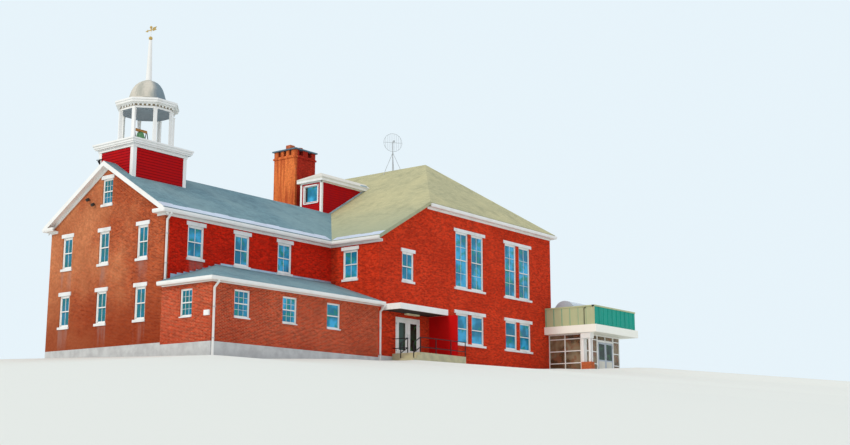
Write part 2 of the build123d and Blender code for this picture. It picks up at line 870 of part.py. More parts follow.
with BuildPart() as dormer_cornice:
    block(dormer_west - dormer_out, main_ridge_x, dormer_low_y - dormer_out,
          dormer_low_y + dormer_width + dormer_out, dormer_wall_top,
          dormer_wall_top + dormer_cornice_height - dormer_roof_thickness)
    block(dormer_west + dormer_wall, main_ridge_x, dormer_low_y + dormer_wall,
          dormer_low_y + dormer_width - dormer_wall, dormer_wall_top,
          dormer_wall_top + dormer_cornice_height, mode=Mode.SUBTRACT)
    add(main_outer, mode=Mode.SUBTRACT)
save(dormer_cornice.part, "dormer_cornice")

# Chimney, from the ground floor up through the roof
with BuildPart() as chimney:
    with BuildSketch(Plane.XY.offset(ground_floor)):
        with Locations(chimney_middle):
            Rectangle(chimney_size, chimney_size)
    extrude(amount=chimney_flue_z - ground_floor)
    with BuildSketch(Plane.XY.offset(chimney_band_z)):
        with Locations(chimney_middle):
            Rectangle(chimney_size + 2 * chimney_band_out, chimney_size + 2 * chimney_band_out)
    extrude(amount=chimney_band_height)
    with BuildSketch(Plane.XY.offset(chimney_flue_z)):
        with Locations(chimney_middle):
            Rectangle(chimney_size, chimney_size)
            Rectangle(chimney_size - 2 * chimney_flue_wall, chimney_size - 2 * chimney_flue_wall,
                      mode=Mode.SUBTRACT)
            with GridLocations(0, chimney_narrow_pitch, 1, chimney_narrow_openings):
                Rectangle(chimney_size, chimney_narrow_opening, mode=Mode.SUBTRACT)
            with GridLocations(chimney_wide_pitch, 0, chimney_wide_openings, 1):
                Rectangle(chimney_wide_opening, chimney_size, mode=Mode.SUBTRACT)
    extrude(amount=chimney_top_z - chimney_flue_z)
save(chimney.part, "chimney")

with BuildPart() as chimney_cap:
    with BuildSketch(Plane.XY.offset(chimney_top_z)):
        with Locations(chimney_middle):
            Rectangle(chimney_size + 2 * chimney_cap_out, chimney_size + 2 * chimney_cap_out)
    extrude(amount=chimney_cap_thickness)
save(chimney_cap.part, "chimney_cap")

with BuildPart() as chimney_pots:
    with BuildSketch(Plane.XY.offset(chimney_top_z + chimney_cap_thickness)):
        with Locations((chimney_middle[0] - pot_from_middle, chimney_middle[1])):
            Rectangle(pot_size, pot_size)
            Rectangle(pot_size - 2 * pot_wall, pot_size - 2 * pot_wall, mode=Mode.SUBTRACT)
        with Locations((chimney_middle[0] + pot_from_middle, chimney_middle[1])):
            RegularPolygon(pot_size / 2, pot_sides)
            RegularPolygon(pot_size / 2 - pot_wall, pot_sides, mode=Mode.SUBTRACT)
    extrude(amount=pot_height)
save(chimney_pots.part, "chimney_pots")

# Belfry on the wing's ridge
belfry_middle = (wing_west + belfry_x, wing_middle)
belfry_cornice_top = belfry_wall_top + belfry_cornice_height

with BuildPart() as belfry_base:
    with BuildSketch(Plane.XY.offset(wing_eave_z)):
        with Locations(belfry_middle):
            Rectangle(belfry_size, belfry_size)
            Rectangle(belfry_size - 2 * belfry_wall, belfry_size - 2 * belfry_wall, mode=Mode.SUBTRACT)
    extrude(amount=belfry_wall_top - wing_eave_z)
    add(wing_outer, mode=Mode.SUBTRACT)
save(belfry_base.part, "belfry_base")

with BuildPart() as belfry_cornice:
    for low, high, out in belfry_cornice_steps:
        step_size = belfry_size + 2 * out * belfry_cornice_out
        with BuildSketch(Plane.XY.offset(belfry_wall_top + low * belfry_cornice_height)):
            with Locations(belfry_middle):
                Rectangle(step_size, step_size)
        extrude(amount=(high - low) * belfry_cornice_height)
save(belfry_cornice.part, "belfry_cornice")

octagon_turn = 22.5

with BuildPart() as belfry_posts:
    with BuildSketch(Plane.XY.offset(belfry_cornice_top)):
        with Locations(belfry_middle):
            with PolarLocations(belfry_post_ring, 8, start_angle=octagon_turn):
                Rectangle(belfry_post_size, belfry_post_size)
    extrude(amount=belfry_post_top - belfry_cornice_top)
save(belfry_posts.part, "belfry_posts")

drum_height = belfry_drum_top - belfry_post_top
with BuildPart() as belfry_drum:
    for low, high, out in belfry_drum_steps:
        with BuildSketch(Plane.XY.offset(belfry_post_top + low * drum_height)):
            with Locations(belfry_middle):
                RegularPolygon(belfry_drum_ring + out * belfry_drum_cornice_out, 8, rotation=octagon_turn)
        extrude(amount=(high - low) * drum_height)
save(belfry_drum.part, "belfry_drum")

with BuildPart() as dome:
    flank = [(radius * dome_ring * cos(radians(22.5)), share * (dome_top - belfry_drum_top))
             for share, radius in dome_profile]
    for turn in range(4):
        across = (cos(radians(45 * turn)), sin(radians(45 * turn)), 0)
        face = Plane((*belfry_middle, belfry_drum_top), x_dir=across, z_dir=(across[1], -across[0], 0))
        with BuildSketch(face):
            with BuildLine():
                curve = Spline(*flank, mode=Mode.PRIVATE)
                east = Polyline(*[curve @ (sheet / dome_sheets) for sheet in range(dome_sheets + 1)])
                west = mirror(east, about=Plane.YZ)
                Line(east @ 0, west @ 0)
                Line(east @ 1, west @ 1)
            make_face()
        extrude(amount=dome_ring, both=True, mode=Mode.INTERSECT if turn else Mode.ADD)
save(dome.part, "belfry_dome")

vane_top_z = vane_z + vane_sleeve_height
rod_top_z = vane_top_z + 2 * finial_radius
axis = Axis(origin=(*belfry_middle, 0), direction=(0, 0, 1))
rod_outline = [(0, spire_top), (rod_radius, spire_top), (rod_radius, vane_z - vane_stop_radius),
               (vane_stop_radius, vane_z - vane_stop_radius), (vane_stop_radius, vane_z),
               (rod_radius, vane_z), (rod_radius, rod_top_z), (0, rod_top_z)]

with BuildPart() as spire:
    for z, radius in ((dome_top, spire_low_radius), (spire_top, spire_top_radius)):
        with BuildSketch(Plane.XY.offset(z)):
            with Locations(belfry_middle):
                RegularPolygon(radius, spire_sides)
    loft()
    with BuildSketch(Plane.XZ.offset(-belfry_middle[1])):
        with BuildLine():
            Polyline(*[(belfry_middle[0] + radius, z) for radius, z in rod_outline], close=True)
        make_face()
    revolve(axis=axis)
save(spire.part, "spire")


def ball_sections(radius, bottom_z):
    """The level sections of a ball on the rod, from its foot to its crown."""
    sections = []
    for band in range(ball_bands + 1):
        angle = radians(90 - (180 - ball_flat) / ball_bands * band - ball_flat / 2)
        with BuildSketch(Plane.XY.offset(bottom_z + radius * (1 - sin(angle)))) as section:
            with Locations(belfry_middle):
                RegularPolygon(radius * cos(angle), ball_sides)
        sections.append(section.sketch)
    return sections


with BuildPart() as gilt_balls:
    loft(ball_sections(ball_radius, spire_top), ruled=True)
    loft(ball_sections(finial_radius, vane_top_z + 2 * vane_running_gap), ruled=True)
    with BuildSketch(Plane.XY.offset(spire_top)):
        with Locations(belfry_middle):
            Circle(rod_radius)
    extrude(amount=rod_top_z + ball_radius - spire_top, mode=Mode.SUBTRACT)
save(gilt_balls.part, "gilt_balls")

with BuildPart() as vane:
    with BuildSketch(Plane.XY.offset(vane_z + vane_running_gap)):
        with Locations(belfry_middle):
            Circle(rod_radius + vane_running_gap + vane_sleeve_wall)
    extrude(amount=vane_sleeve_height)
    heading = (cos(radians(vane_heading)), sin(radians(vane_heading)), 0)
    with BuildSketch(Plane((*belfry_middle, vane_z + vane_sleeve_height / 2), x_dir=heading,
                           z_dir=(heading[1], -heading[0], 0))):
        Rectangle(vane_length - vane_head_length, vane_shaft)
        with BuildLine():
            Polyline((vane_length / 2, 0), (vane_length / 2 - vane_head_length, vane_head_height / 2),
                     (vane_length / 2 - vane_head_length, -vane_head_height / 2), close=True)
        make_face()
        with BuildLine():
            Polyline((vane_tail_notch - vane_length / 2, 0), (-vane_length / 2, vane_tail_height / 2),
                     (vane_tail_length - vane_length / 2, vane_tail_height / 2),
                     (vane_tail_length - vane_length / 2, -vane_tail_height / 2),
                     (-vane_length / 2, -vane_tail_height / 2), close=True)
        make_face()
    extrude(amount=vane_thickness / 2, both=True)
    with BuildSketch(Plane.XY.offset(vane_z)):
        with Locations(belfry_middle):
            Circle(rod_radius + vane_running_gap)
    extrude(amount=vane_sleeve_height + ball_radius, mode=Mode.SUBTRACT)
save(vane.part, "weather_vane")


# Doors: a white frame, two glazed leaves and their hinges

def leaf_span(low_x, width):
    """The inner edges of a door frame, and the width of each leaf between them."""
    inner_low = low_x + door_frame_width
    inner_high = low_x + width - door_frame_width
    leaf = (inner_high - inner_low - 2 * door_gap - leaf_gap) / 2
    return inner_low, inner_high, leaf


def door_leaf(x_low, leaf, face_y, floor_z, head_z, stile, bottom_rail):
    """A door leaf with one tall light of glass."""
    bottom = floor_z + threshold_gap
    top = head_z - door_frame_width - door_gap
    with BuildSketch(Plane.XZ.offset(-face_y)) as outline:
        with Locations((x_low + leaf / 2, (bottom + top) / 2)):
            Rectangle(leaf, top - bottom)
    extrude(outline.sketch, amount=-leaf_thickness)
    with BuildSketch(Plane.XZ.offset(-face_y)) as light:
        with Locations((x_low + leaf / 2, (bottom + bottom_rail + top - stile) / 2)):
            Rectangle(leaf - 2 * stile, top - stile - bottom - bottom_rail)
    extrude(light.sketch, amount=-(leaf_thickness - glass_thickness) / 2, mode=Mode.SUBTRACT)
    with BuildSketch(Plane.XZ.offset(-face_y - leaf_thickness)) as back:
        add(light.sketch.moved(Location((0, leaf_thickness, 0))))
    extrude(back.sketch, amount=(leaf_thickness - glass_thickness) / 2, mode=Mode.SUBTRACT)


def hinge_heights(floor_z, head_z):
    """Where the two hinges of a leaf sit."""
    return (floor_z + hinge_inset, head_z - door_frame_width - hinge_inset)


def door_knuckles(axis_x, axis_y, toward, floor_z, head_z):
    """The leaf's half of each hinge: a knuckle round the pin and a plate on the leaf's face."""
    for z in hinge_heights(floor_z, head_z):
        with BuildSketch(Plane.XY.offset(z + hinge_clearance)) as knuckle:
            with Locations((axis_x, axis_y)):
                RegularPolygon(hinge_radius, hinge_sides)
            with Locations((axis_x + toward * hinge_plate / 2, axis_y + hinge_radius - hinge_plate_lap)):
                Rectangle(hinge_plate, hinge_plate_thickness)
            with Locations((axis_x, axis_y)):
                Circle(hinge_pin_radius + hinge_clearance, mode=Mode.SUBTRACT)
        extrude(knuckle.sketch, amount=hinge_height)


def frame_pins(axis_x, axis_y, toward, floor_z, head_z):
    """The frame's half of each hinge: a lower knuckle with the pin, and a plate on the frame's face."""
    for z in hinge_heights(floor_z, head_z):
        with BuildSketch(Plane.XY.offset(z - hinge_height)) as knuckle:
            with Locations((axis_x, axis_y)):
                RegularPolygon(hinge_radius, hinge_sides)
            with Locations((axis_x - toward * hinge_plate / 2, axis_y + hinge_radius - hinge_plate_lap)):
                Rectangle(hinge_plate, hinge_plate_thickness)
        extrude(knuckle.sketch, amount=hinge_height)
        with BuildSketch(Plane.XY.offset(z)) as pin:
            with Locations((axis_x, axis_y)):
                Circle(hinge_pin_radius)
        extrude(pin.sketch, amount=hinge_height)


def door_frame(low_x, width, face_y, floor_z, head_z):
    """The jambs and head of a door frame."""
    with BuildSketch(Plane.XZ.offset(-face_y)) as outline:
        with Locations((low_x + width / 2, (floor_z + head_z) / 2)):
            Rectangle(width, head_z - floor_z)
        with Locations((low_x + width / 2, (floor_z + head_z - door_frame_width) / 2)):
            Rectangle(width - 2 * door_frame_width, head_z - door_frame_width - floor_z, mode=Mode.SUBTRACT)
    extrude(outline.sketch, amount=-door_frame_depth)


Doorway = namedtuple("Doorway", "name low_x width face_y floor_z head_z stile bottom_rail")
entrance = Doorway("entrance", entrance_low_x, entrance_width, main_south, ground_floor, entrance_head,
                   entrance_stile, entrance_bottom_rail)
lobby_doorway = Doorway("lobby", lobby_west + lobby_door_from, lobby_door_width, lobby_south,
                        lobby_floor, lobby_floor + lobby_door_height, lobby_stile, lobby_bottom_rail)

for doorway in (entrance, lobby_doorway):
    inner_low, inner_high, leaf = leaf_span(doorway.low_x, doorway.width)
    axis_y = doorway.face_y - hinge_radius
    place = (doorway.face_y, doorway.floor_z, doorway.head_z, doorway.stile, doorway.bottom_rail)
    with BuildPart() as left_leaf:
        door_leaf(inner_low + door_gap, leaf, *place)
        door_knuckles(inner_low + door_gap / 2, axis_y, 1, doorway.floor_z, doorway.head_z)
    save(left_leaf.part, f"{doorway.name}_door_left")
    with BuildPart() as right_leaf:
        door_leaf(inner_high - door_gap - leaf, leaf, *place)
        door_knuckles(inner_high - door_gap / 2, axis_y, -1, doorway.floor_z, doorway.head_z)
    save(right_leaf.part, f"{doorway.name}_door_right")

with BuildPart() as door_frames:
    for doorway in (entrance, lobby_doorway):
        door_frame(doorway.low_x, doorway.width, doorway.face_y, doorway.floor_z, doorway.head_z)
save(door_frames.part, "door_frames")

with BuildPart() as door_hinges:
    for doorway in (entrance, lobby_doorway):
        inner_low, inner_high, leaf = leaf_span(doorway.low_x, doorway.width)
        axis_y = doorway.face_y - hinge_radius
        frame_pins(inner_low + door_gap / 2, axis_y, 1, doorway.floor_z, doorway.head_z)
        frame_pins(inner_high - door_gap / 2, axis_y, -1, doorway.floor_z, doorway.head_z)
save(door_hinges.part, "door_hinges")

# Entrance: canopy, screen wall, landing with its steps, and handrails
screen_low_x = main_west + screen_x
with BuildPart() as canopy:
    block(main_west + canopy_from, main_west + canopy_from + canopy_width,
          main_south - canopy_out, main_south, canopy_z, canopy_z + canopy_height)
save(canopy.part, "entrance_canopy")

with BuildPart() as screen_wall:
    block(screen_low_x, screen_low_x + screen_thickness, main_south - screen_out, main_south, 0, screen_top)
save(screen_wall.part, "screen_wall")

landing_low_x = main_west + landing_from
landing_high_x = screen_low_x + screen_thickness + landing_past_screen
landing_south = main_south - landing_out
steps_north = landing_south + steps_width
with BuildPart() as landing:
    block(landing_low_x, landing_high_x, landing_south, main_south, 0, ground_floor)
    for step in range(1, step_count + 1):
        block(landing_low_x - step * step_run, landing_low_x, landing_south, steps_north,
              0, ground_floor - step * step_rise)
    block(screen_low_x, screen_low_x + screen_thickness, main_south - screen_out, main_south, 0, ground_floor,
          mode=Mode.SUBTRACT)
save(landing.part, "entrance_landing")


def rail_post(x, y, foot, top):
    """An upright of a handrail."""
    block(x - rail_size / 2, x + rail_size / 2, y - rail_size / 2, y + rail_size / 2, foot, top)


def rail_bars(start, end, top_start, top_end):
    """The two bars of a handrail between two places, each given the height of its top."""
    for drop in (0, rail_drop):
        low = Vector(*start, top_start - drop - rail_size / 2)
        high = Vector(*end, top_end - drop - rail_size / 2)
        across = Vector(0, 0, 1).cross(high - low)
        with BuildSketch(Plane(origin=low, x_dir=across, z_dir=high - low)) as section:
            Rectangle(rail_size, rail_size)
        extrude(section.sketch, amount=(high - low).length)


rail_top = ground_floor + rail_height
rail_x = landing_low_x + rail_size
rail_y = landing_south + rail_size / 2
stair_rail_y = steps_north - rail_size / 2
stair_low_x = landing_low_x - step_count * step_run + rail_size
stair_drop = (rail_x - stair_low_x) * step_rise / step_run
stair_foot = ground_floor - step_count * step_rise
far_post_x = landing_high_x - rail_size

with BuildPart() as handrails:
    rail_bars((rail_x, main_south), (rail_x, stair_rail_y), rail_top, rail_top)
    for y in (stair_rail_y, rail_y):
        rail_post(rail_x, y, ground_floor, rail_top)
        rail_post(stair_low_x, y, stair_foot, rail_top - stair_drop)
        rail_bars((rail_x, y), (stair_low_x, y), rail_top, rail_top - stair_drop)
    for post in range(1, front_posts + 1):
        rail_post(rail_x + post * (far_post_x - rail_x) / front_posts, rail_y, ground_floor, rail_top)
    rail_bars((rail_x, rail_y), (far_post_x, rail_y), rail_top, rail_top)
save(handrails.part, "handrails")

# Lobby: glazed walls, corner posts, fascia, parapet and rooflight
door_low_x = lobby_west + lobby_door_from
door_high_x = door_low_x + lobby_door_width
corner_y = lobby_south + lobby_corner_post
rail_heights = [lobby_soffit - drop for drop in lobby_rail_drops]


def panes(low, high, bottom, bays, rails, mode):
    """The panes of a curtain wall, in the sketch being drawn."""
    pane_width = (high - low - (bays + 1) * mullion) / bays
    edges = [bottom, *[z - mullion / 2 for z in reversed(rails)], lobby_soffit - mullion]
    for lower, upper in zip(edges, edges[1:]):
        with Locations(((low + high) / 2, (lower + mullion + upper) / 2)):
            with GridLocations(pane_width + mullion, 0, bays, 1):
                Rectangle(pane_width, upper - lower - mullion, mode=mode)


def glazed_wall(plane, inward, low, high, bottom, bays, rails):
    """A curtain wall's grid of white bars."""
    with BuildSketch(plane) as grid:
        with Locations(((low + high) / 2, (bottom + lobby_soffit) / 2)):
            Rectangle(high - low, lobby_soffit - bottom)
        panes(low, high, bottom, bays, rails, Mode.SUBTRACT)
    extrude(grid.sketch, amount=inward * mullion_depth)


def wall_panes(plane, inward, low, high, bottom, bays, rails):
    """The glass between a curtain wall's bars."""
    with BuildSketch(plane.offset(inward * mullion_depth / 2)) as sheets:
        panes(low, high, bottom, bays, rails, Mode.ADD)
    extrude(sheets.sketch, amount=inward * glass_thickness)


west_plane = Plane.YZ.offset(lobby_west)
south_plane = Plane.XZ.offset(-lobby_south)
west_glazing = (west_plane, 1, corner_y, main_south, lobby_floor, lobby_west_bays, rail_heights)
door_head = lobby_floor + lobby_door_height
south_glazing = (
    (south_plane, -1, lobby_west + lobby_corner_post, door_low_x, lobby_floor, 1, rail_heights),
    (south_plane, -1, door_low_x, door_high_x, door_head, 2, []),
    (south_plane, -1, door_high_x, lobby_east, lobby_floor, 1, rail_heights),
)

with BuildPart() as lobby_west_frame:
    glazed_wall(*west_glazing)
    block(lobby_west, lobby_west + mullion_depth, lobby_south, corner_y, lobby_floor, lobby_soffit)
save(lobby_west_frame.part, "lobby_west_frame")

with BuildPart() as lobby_front_frame:
    block(lobby_west + mullion_depth, lobby_west + lobby_corner_post,
          lobby_south, lobby_south + mullion_depth, lobby_floor, lobby_soffit)
    for wall in south_glazing:
        glazed_wall(*wall)
save(lobby_front_frame.part, "lobby_front_frame")

with BuildPart() as lobby_glass:
    wall_panes(*west_glazing)
    for wall in south_glazing:
        wall_panes(*wall)
save(lobby_glass.part, "lobby_glass")

with BuildPart() as lobby_back_walls:
    block(lobby_east - lobby_wall, lobby_east, lobby_south + mullion_depth, lobby_north,
          lobby_floor, lobby_soffit)
    block(main_east, lobby_east - lobby_wall, lobby_north - lobby_wall, lobby_north,
          lobby_floor, lobby_soffit)
save(lobby_back_walls.part, "lobby_back_walls")

# Brick pier under the porch's corner, with its posts and their cap
pier_low_x = lobby_west - lobby_fascia_out + lobby_pier_from
pier_high_x = pier_low_x + lobby_pier_width
pier_low_y = lobby_south - lobby_porch_out + lobby_pier_width
with BuildPart() as lobby_pier:
    block(pier_low_x, pier_high_x, pier_low_y, lobby_south, 0, lobby_pier_top)
save(lobby_pier.part, "lobby_corner_pier")

post_high_x = pier_high_x - lobby_post_inset - lobby_post_size
post_low_x = pier_low_x + lobby_post_inset
post_high_y = lobby_south - lobby_post_inset - lobby_post_size
post_low_y = pier_low_y + lobby_post_inset
with BuildPart() as lobby_posts:
    for x, y in ((post_low_x, post_low_y), (post_high_x, post_low_y), (post_low_x, post_high_y)):
        block(x, x + lobby_post_size, y, y + lobby_post_size, lobby_pier_top, lobby_soffit - lobby_cap_height)
    block(pier_low_x, pier_high_x, pier_low_y, lobby_south, lobby_soffit - lobby_cap_height, lobby_soffit)
save(lobby_posts.part, "lobby_posts")

lobby_roof_top = lobby_soffit + lobby_fascia_height


def porch_outline(inset):
    """Outline of the lobby's roof, kept in by inset where its edges are free."""
    Polyline((lobby_west - lobby_fascia_out + inset, main_south),
             (lobby_west - lobby_fascia_out + inset, lobby_south - lobby_porch_out + inset),
             (lobby_east + lobby_fascia_out - inset, lobby_south - lobby_porch_out + inset),
             (lobby_east + lobby_fascia_out - inset, lobby_north - max(inset - lobby_parapet_in, 0)),
             (main_east, lobby_north - max(inset - lobby_parapet_in, 0)), (main_east, main_south), close=True)


with BuildPart() as lobby_fascia:
    with BuildSketch(Plane.XY.offset(lobby_soffit)):
        with BuildLine():
            porch_outline(0)
        make_face()
    extrude(amount=lobby_fascia_height)
save(lobby_fascia.part, "lobby_fascia")

with BuildPart() as lobby_parapet:
    for inset, mode in ((lobby_parapet_in, Mode.ADD), (lobby_parapet_in + lobby_parapet_wall, Mode.SUBTRACT)):
        with BuildSketch(Plane.XY.offset(lobby_roof_top)):
            with BuildLine():
                porch_outline(inset)
            make_face()
        extrude(amount=lobby_parapet_height, mode=mode)
save(lobby_parapet.part, "lobby_parapet")

rooflight_low_x = lobby_west - lobby_fascia_out + rooflight_from
with BuildPart() as rooflight:
    with BuildSketch(Plane.YZ.offset(rooflight_low_x)):
        with Locations((main_south - rooflight_y, lobby_roof_top + rooflight_curb)):
            Circle(rooflight_radius)
        with Locations((main_south - rooflight_y, lobby_roof_top + rooflight_curb / 2)):
            Rectangle(2 * rooflight_radius, rooflight_curb)
        with Locations((main_south - rooflight_y, lobby_roof_top)):
            Rectangle(2 * rooflight_radius, 2 * rooflight_radius, align=(Align.CENTER, Align.MAX),
                      mode=Mode.SUBTRACT)
    extrude(amount=rooflight_length)
save(rooflight.part, "lobby_rooflight")

# Downspouts, each from its gutter in to the wall and down

def downspout(x, wall_y, gutter_z, foot_z):
    """A square pipe from under a gutter, back to the wall and down it."""
    gutter_y = wall_y - eave_out + gutter_width / 2
    pipe_y = wall_y - spout_depth / 2
    outlet_z = gutter_z - soffit_drop
    with BuildLine() as route:
        Polyline((x, gutter_y, outlet_z), (x, gutter_y, outlet_z - spout_depth),
                 (x, pipe_y, outlet_z - spout_drop), (x, pipe_y, foot_z))
    with BuildSketch(Plane(origin=(x, gutter_y, outlet_z), x_dir=(1, 0, 0), z_dir=(0, 0, -1))) as section:
        Rectangle(spout_width, spout_depth)
    sweep(section.sketch, path=route.line, transition=Transition.RIGHT)


with BuildPart() as downspouts:
    corner_x = wing_west + spout_from_corner
    roof_foot_z = annex_eave_z + annex_slope * (spout_from_corner + spout_width / 2 + eave_out)
    downspout(corner_x, wing_south, wing_eave_z, roof_foot_z)
    downspout(corner_x, main_south, annex_eave_z, 0)
    downspout(main_west + spout_from_corner, main_south, annex_eave_z, 0)
save(downspouts.part, "downspouts")

# Dish aerial on a tripod over the main ridge
aerial_y = main_south + antenna_y
toward_dish = (cos(radians(dish_heading)), sin(radians(dish_heading)), 0)
dish_side = (-toward_dish[1], toward_dish[0], 0)
dish_plane = Plane((main_ridge_x, aerial_y, dish_z), x_dir=dish_side, z_dir=toward_dish)
with BuildPart() as aerial:
    block(main_ridge_x - antenna_tube, main_ridge_x + antenna_tube,
          aerial_y - antenna_tube, aerial_y + antenna_tube, main_ridge_z, antenna_top)
    for leg in range(3):
        angle = radians(120 * leg - 90)
        foot_x = main_ridge_x + antenna_leg_spread * cos(angle)
        foot_y = aerial_y + antenna_leg_spread * sin(angle)
        foot = Vector(foot_x, foot_y, main_ridge_z - main_slope * abs(foot_x - main_ridge_x))
        apex = Vector(main_ridge_x, aerial_y, antenna_apex)
        with BuildSketch(Plane(origin=foot, z_dir=apex - foot)) as section:
            Rectangle(antenna_tube, antenna_tube)
        extrude(section.sketch, amount=(apex - foot).length)
    with BuildSketch(dish_plane.offset(antenna_tube)):
        RegularPolygon(dish_radius, dish_sides)
        RegularPolygon(dish_radius - antenna_tube, dish_sides, mode=Mode.SUBTRACT)
        for bar in range(-dish_bars, dish_bars + 1):
            across = bar * dish_radius / (dish_bars + 1)
            chord = 2 * (dish_radius ** 2 - across ** 2) ** 0.5 - antenna_tube
            with Locations((across, 0)):
                Rectangle(dish_bar, chord)
        Rectangle(2 * dish_radius - antenna_tube, antenna_tube)
    extrude(amount=dish_bar)
    with BuildSketch(dish_plane):
        Rectangle(antenna_tube, antenna_tube)
    extrude(amount=feed_reach)
    with BuildSketch(dish_plane.offset(feed_reach)):
        Rectangle(2 * feed_radius, 2 * feed_radius)
    extrude(amount=feed_radius)
    add(main_outer, mode=Mode.SUBTRACT)
save(aerial.part, "aerial")
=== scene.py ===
"""Dresses the brick school: finishes for every wall, roof and window, and the small joinery on them."""
import math

import bmesh
import bpy
from mathutils import Matrix, Vector


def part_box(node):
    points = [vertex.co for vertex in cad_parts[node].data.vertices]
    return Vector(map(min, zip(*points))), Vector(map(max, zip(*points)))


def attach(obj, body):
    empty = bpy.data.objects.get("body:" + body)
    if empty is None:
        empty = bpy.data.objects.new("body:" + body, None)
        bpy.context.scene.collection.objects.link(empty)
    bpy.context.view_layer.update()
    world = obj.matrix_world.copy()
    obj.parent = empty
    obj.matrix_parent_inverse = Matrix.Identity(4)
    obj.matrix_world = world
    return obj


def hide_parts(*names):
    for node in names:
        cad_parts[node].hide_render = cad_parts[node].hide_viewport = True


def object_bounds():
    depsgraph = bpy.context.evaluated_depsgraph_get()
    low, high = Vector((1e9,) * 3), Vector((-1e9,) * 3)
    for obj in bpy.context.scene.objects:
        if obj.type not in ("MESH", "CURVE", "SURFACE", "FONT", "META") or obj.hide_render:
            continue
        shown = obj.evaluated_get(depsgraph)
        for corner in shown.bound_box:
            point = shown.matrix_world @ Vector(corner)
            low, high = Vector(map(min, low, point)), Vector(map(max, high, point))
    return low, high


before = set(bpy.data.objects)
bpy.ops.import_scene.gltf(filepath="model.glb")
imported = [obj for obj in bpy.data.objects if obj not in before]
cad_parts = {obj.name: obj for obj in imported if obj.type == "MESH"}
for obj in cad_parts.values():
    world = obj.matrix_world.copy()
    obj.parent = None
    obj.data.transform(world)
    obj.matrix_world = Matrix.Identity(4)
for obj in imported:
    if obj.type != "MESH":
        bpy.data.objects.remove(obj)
cad_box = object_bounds()
BODY = "building"
WELD = 0.0002


def add_object(name, data):
    """A new object in the scene, unturned at the origin."""
    made = bpy.data.objects.new(name, data)
    bpy.context.collection.objects.link(made)
    return made


# Camera: where the photograph was taken from

CAMERA_SPOT = (-56.824, -50.662, -4.589)
CAMERA_YAW = 37.317
CAMERA_PITCH = 10.896
LENS = 50.97
SIGHT = 1000


def set_camera():
    """The photograph's viewpoint: below the building's ground, looking a little up."""
    data = bpy.data.cameras.new("camera")
    data.lens = LENS
    data.clip_end = SIGHT
    camera = add_object("camera", data)
    camera.location = CAMERA_SPOT
    camera.rotation_euler = (math.radians(90 + CAMERA_PITCH), 0, math.radians(CAMERA_YAW - 90))
    bpy.context.scene.camera = camera


set_camera()


# Nodes, for finishes and for the trees further down

def feed(tree, socket, value):
    """Link another node's socket, or set a plain value. A colour is given without its alpha."""
    if isinstance(value, bpy.types.NodeSocket):
        tree.links.new(value, socket)
    else:
        socket.default_value = (*value, 1.0) if socket.type == "RGBA" else value


def feed_all(tree, node, values):
    """Feed a node's first inputs in turn, and give back its first output."""
    for socket, value in zip(node.inputs, values):
        feed(tree, socket, value)
    return node.outputs[0]


def maths(tree, operation, *terms):
    """The result of a Math node."""
    node = tree.nodes.new("ShaderNodeMath")
    node.operation = operation
    return feed_all(tree, node, terms)


def combine(tree, x=0.0, y=0.0, z=0.0):
    """A vector from three values."""
    return feed_all(tree, tree.nodes.new("ShaderNodeCombineXYZ"), (x, y, z))


def link(tree, pairs):
    """Link each output to its input."""
    for source, target in pairs:
        tree.links.new(source, target)


# Finishes

NOISE_ROUGHNESS = 0.55


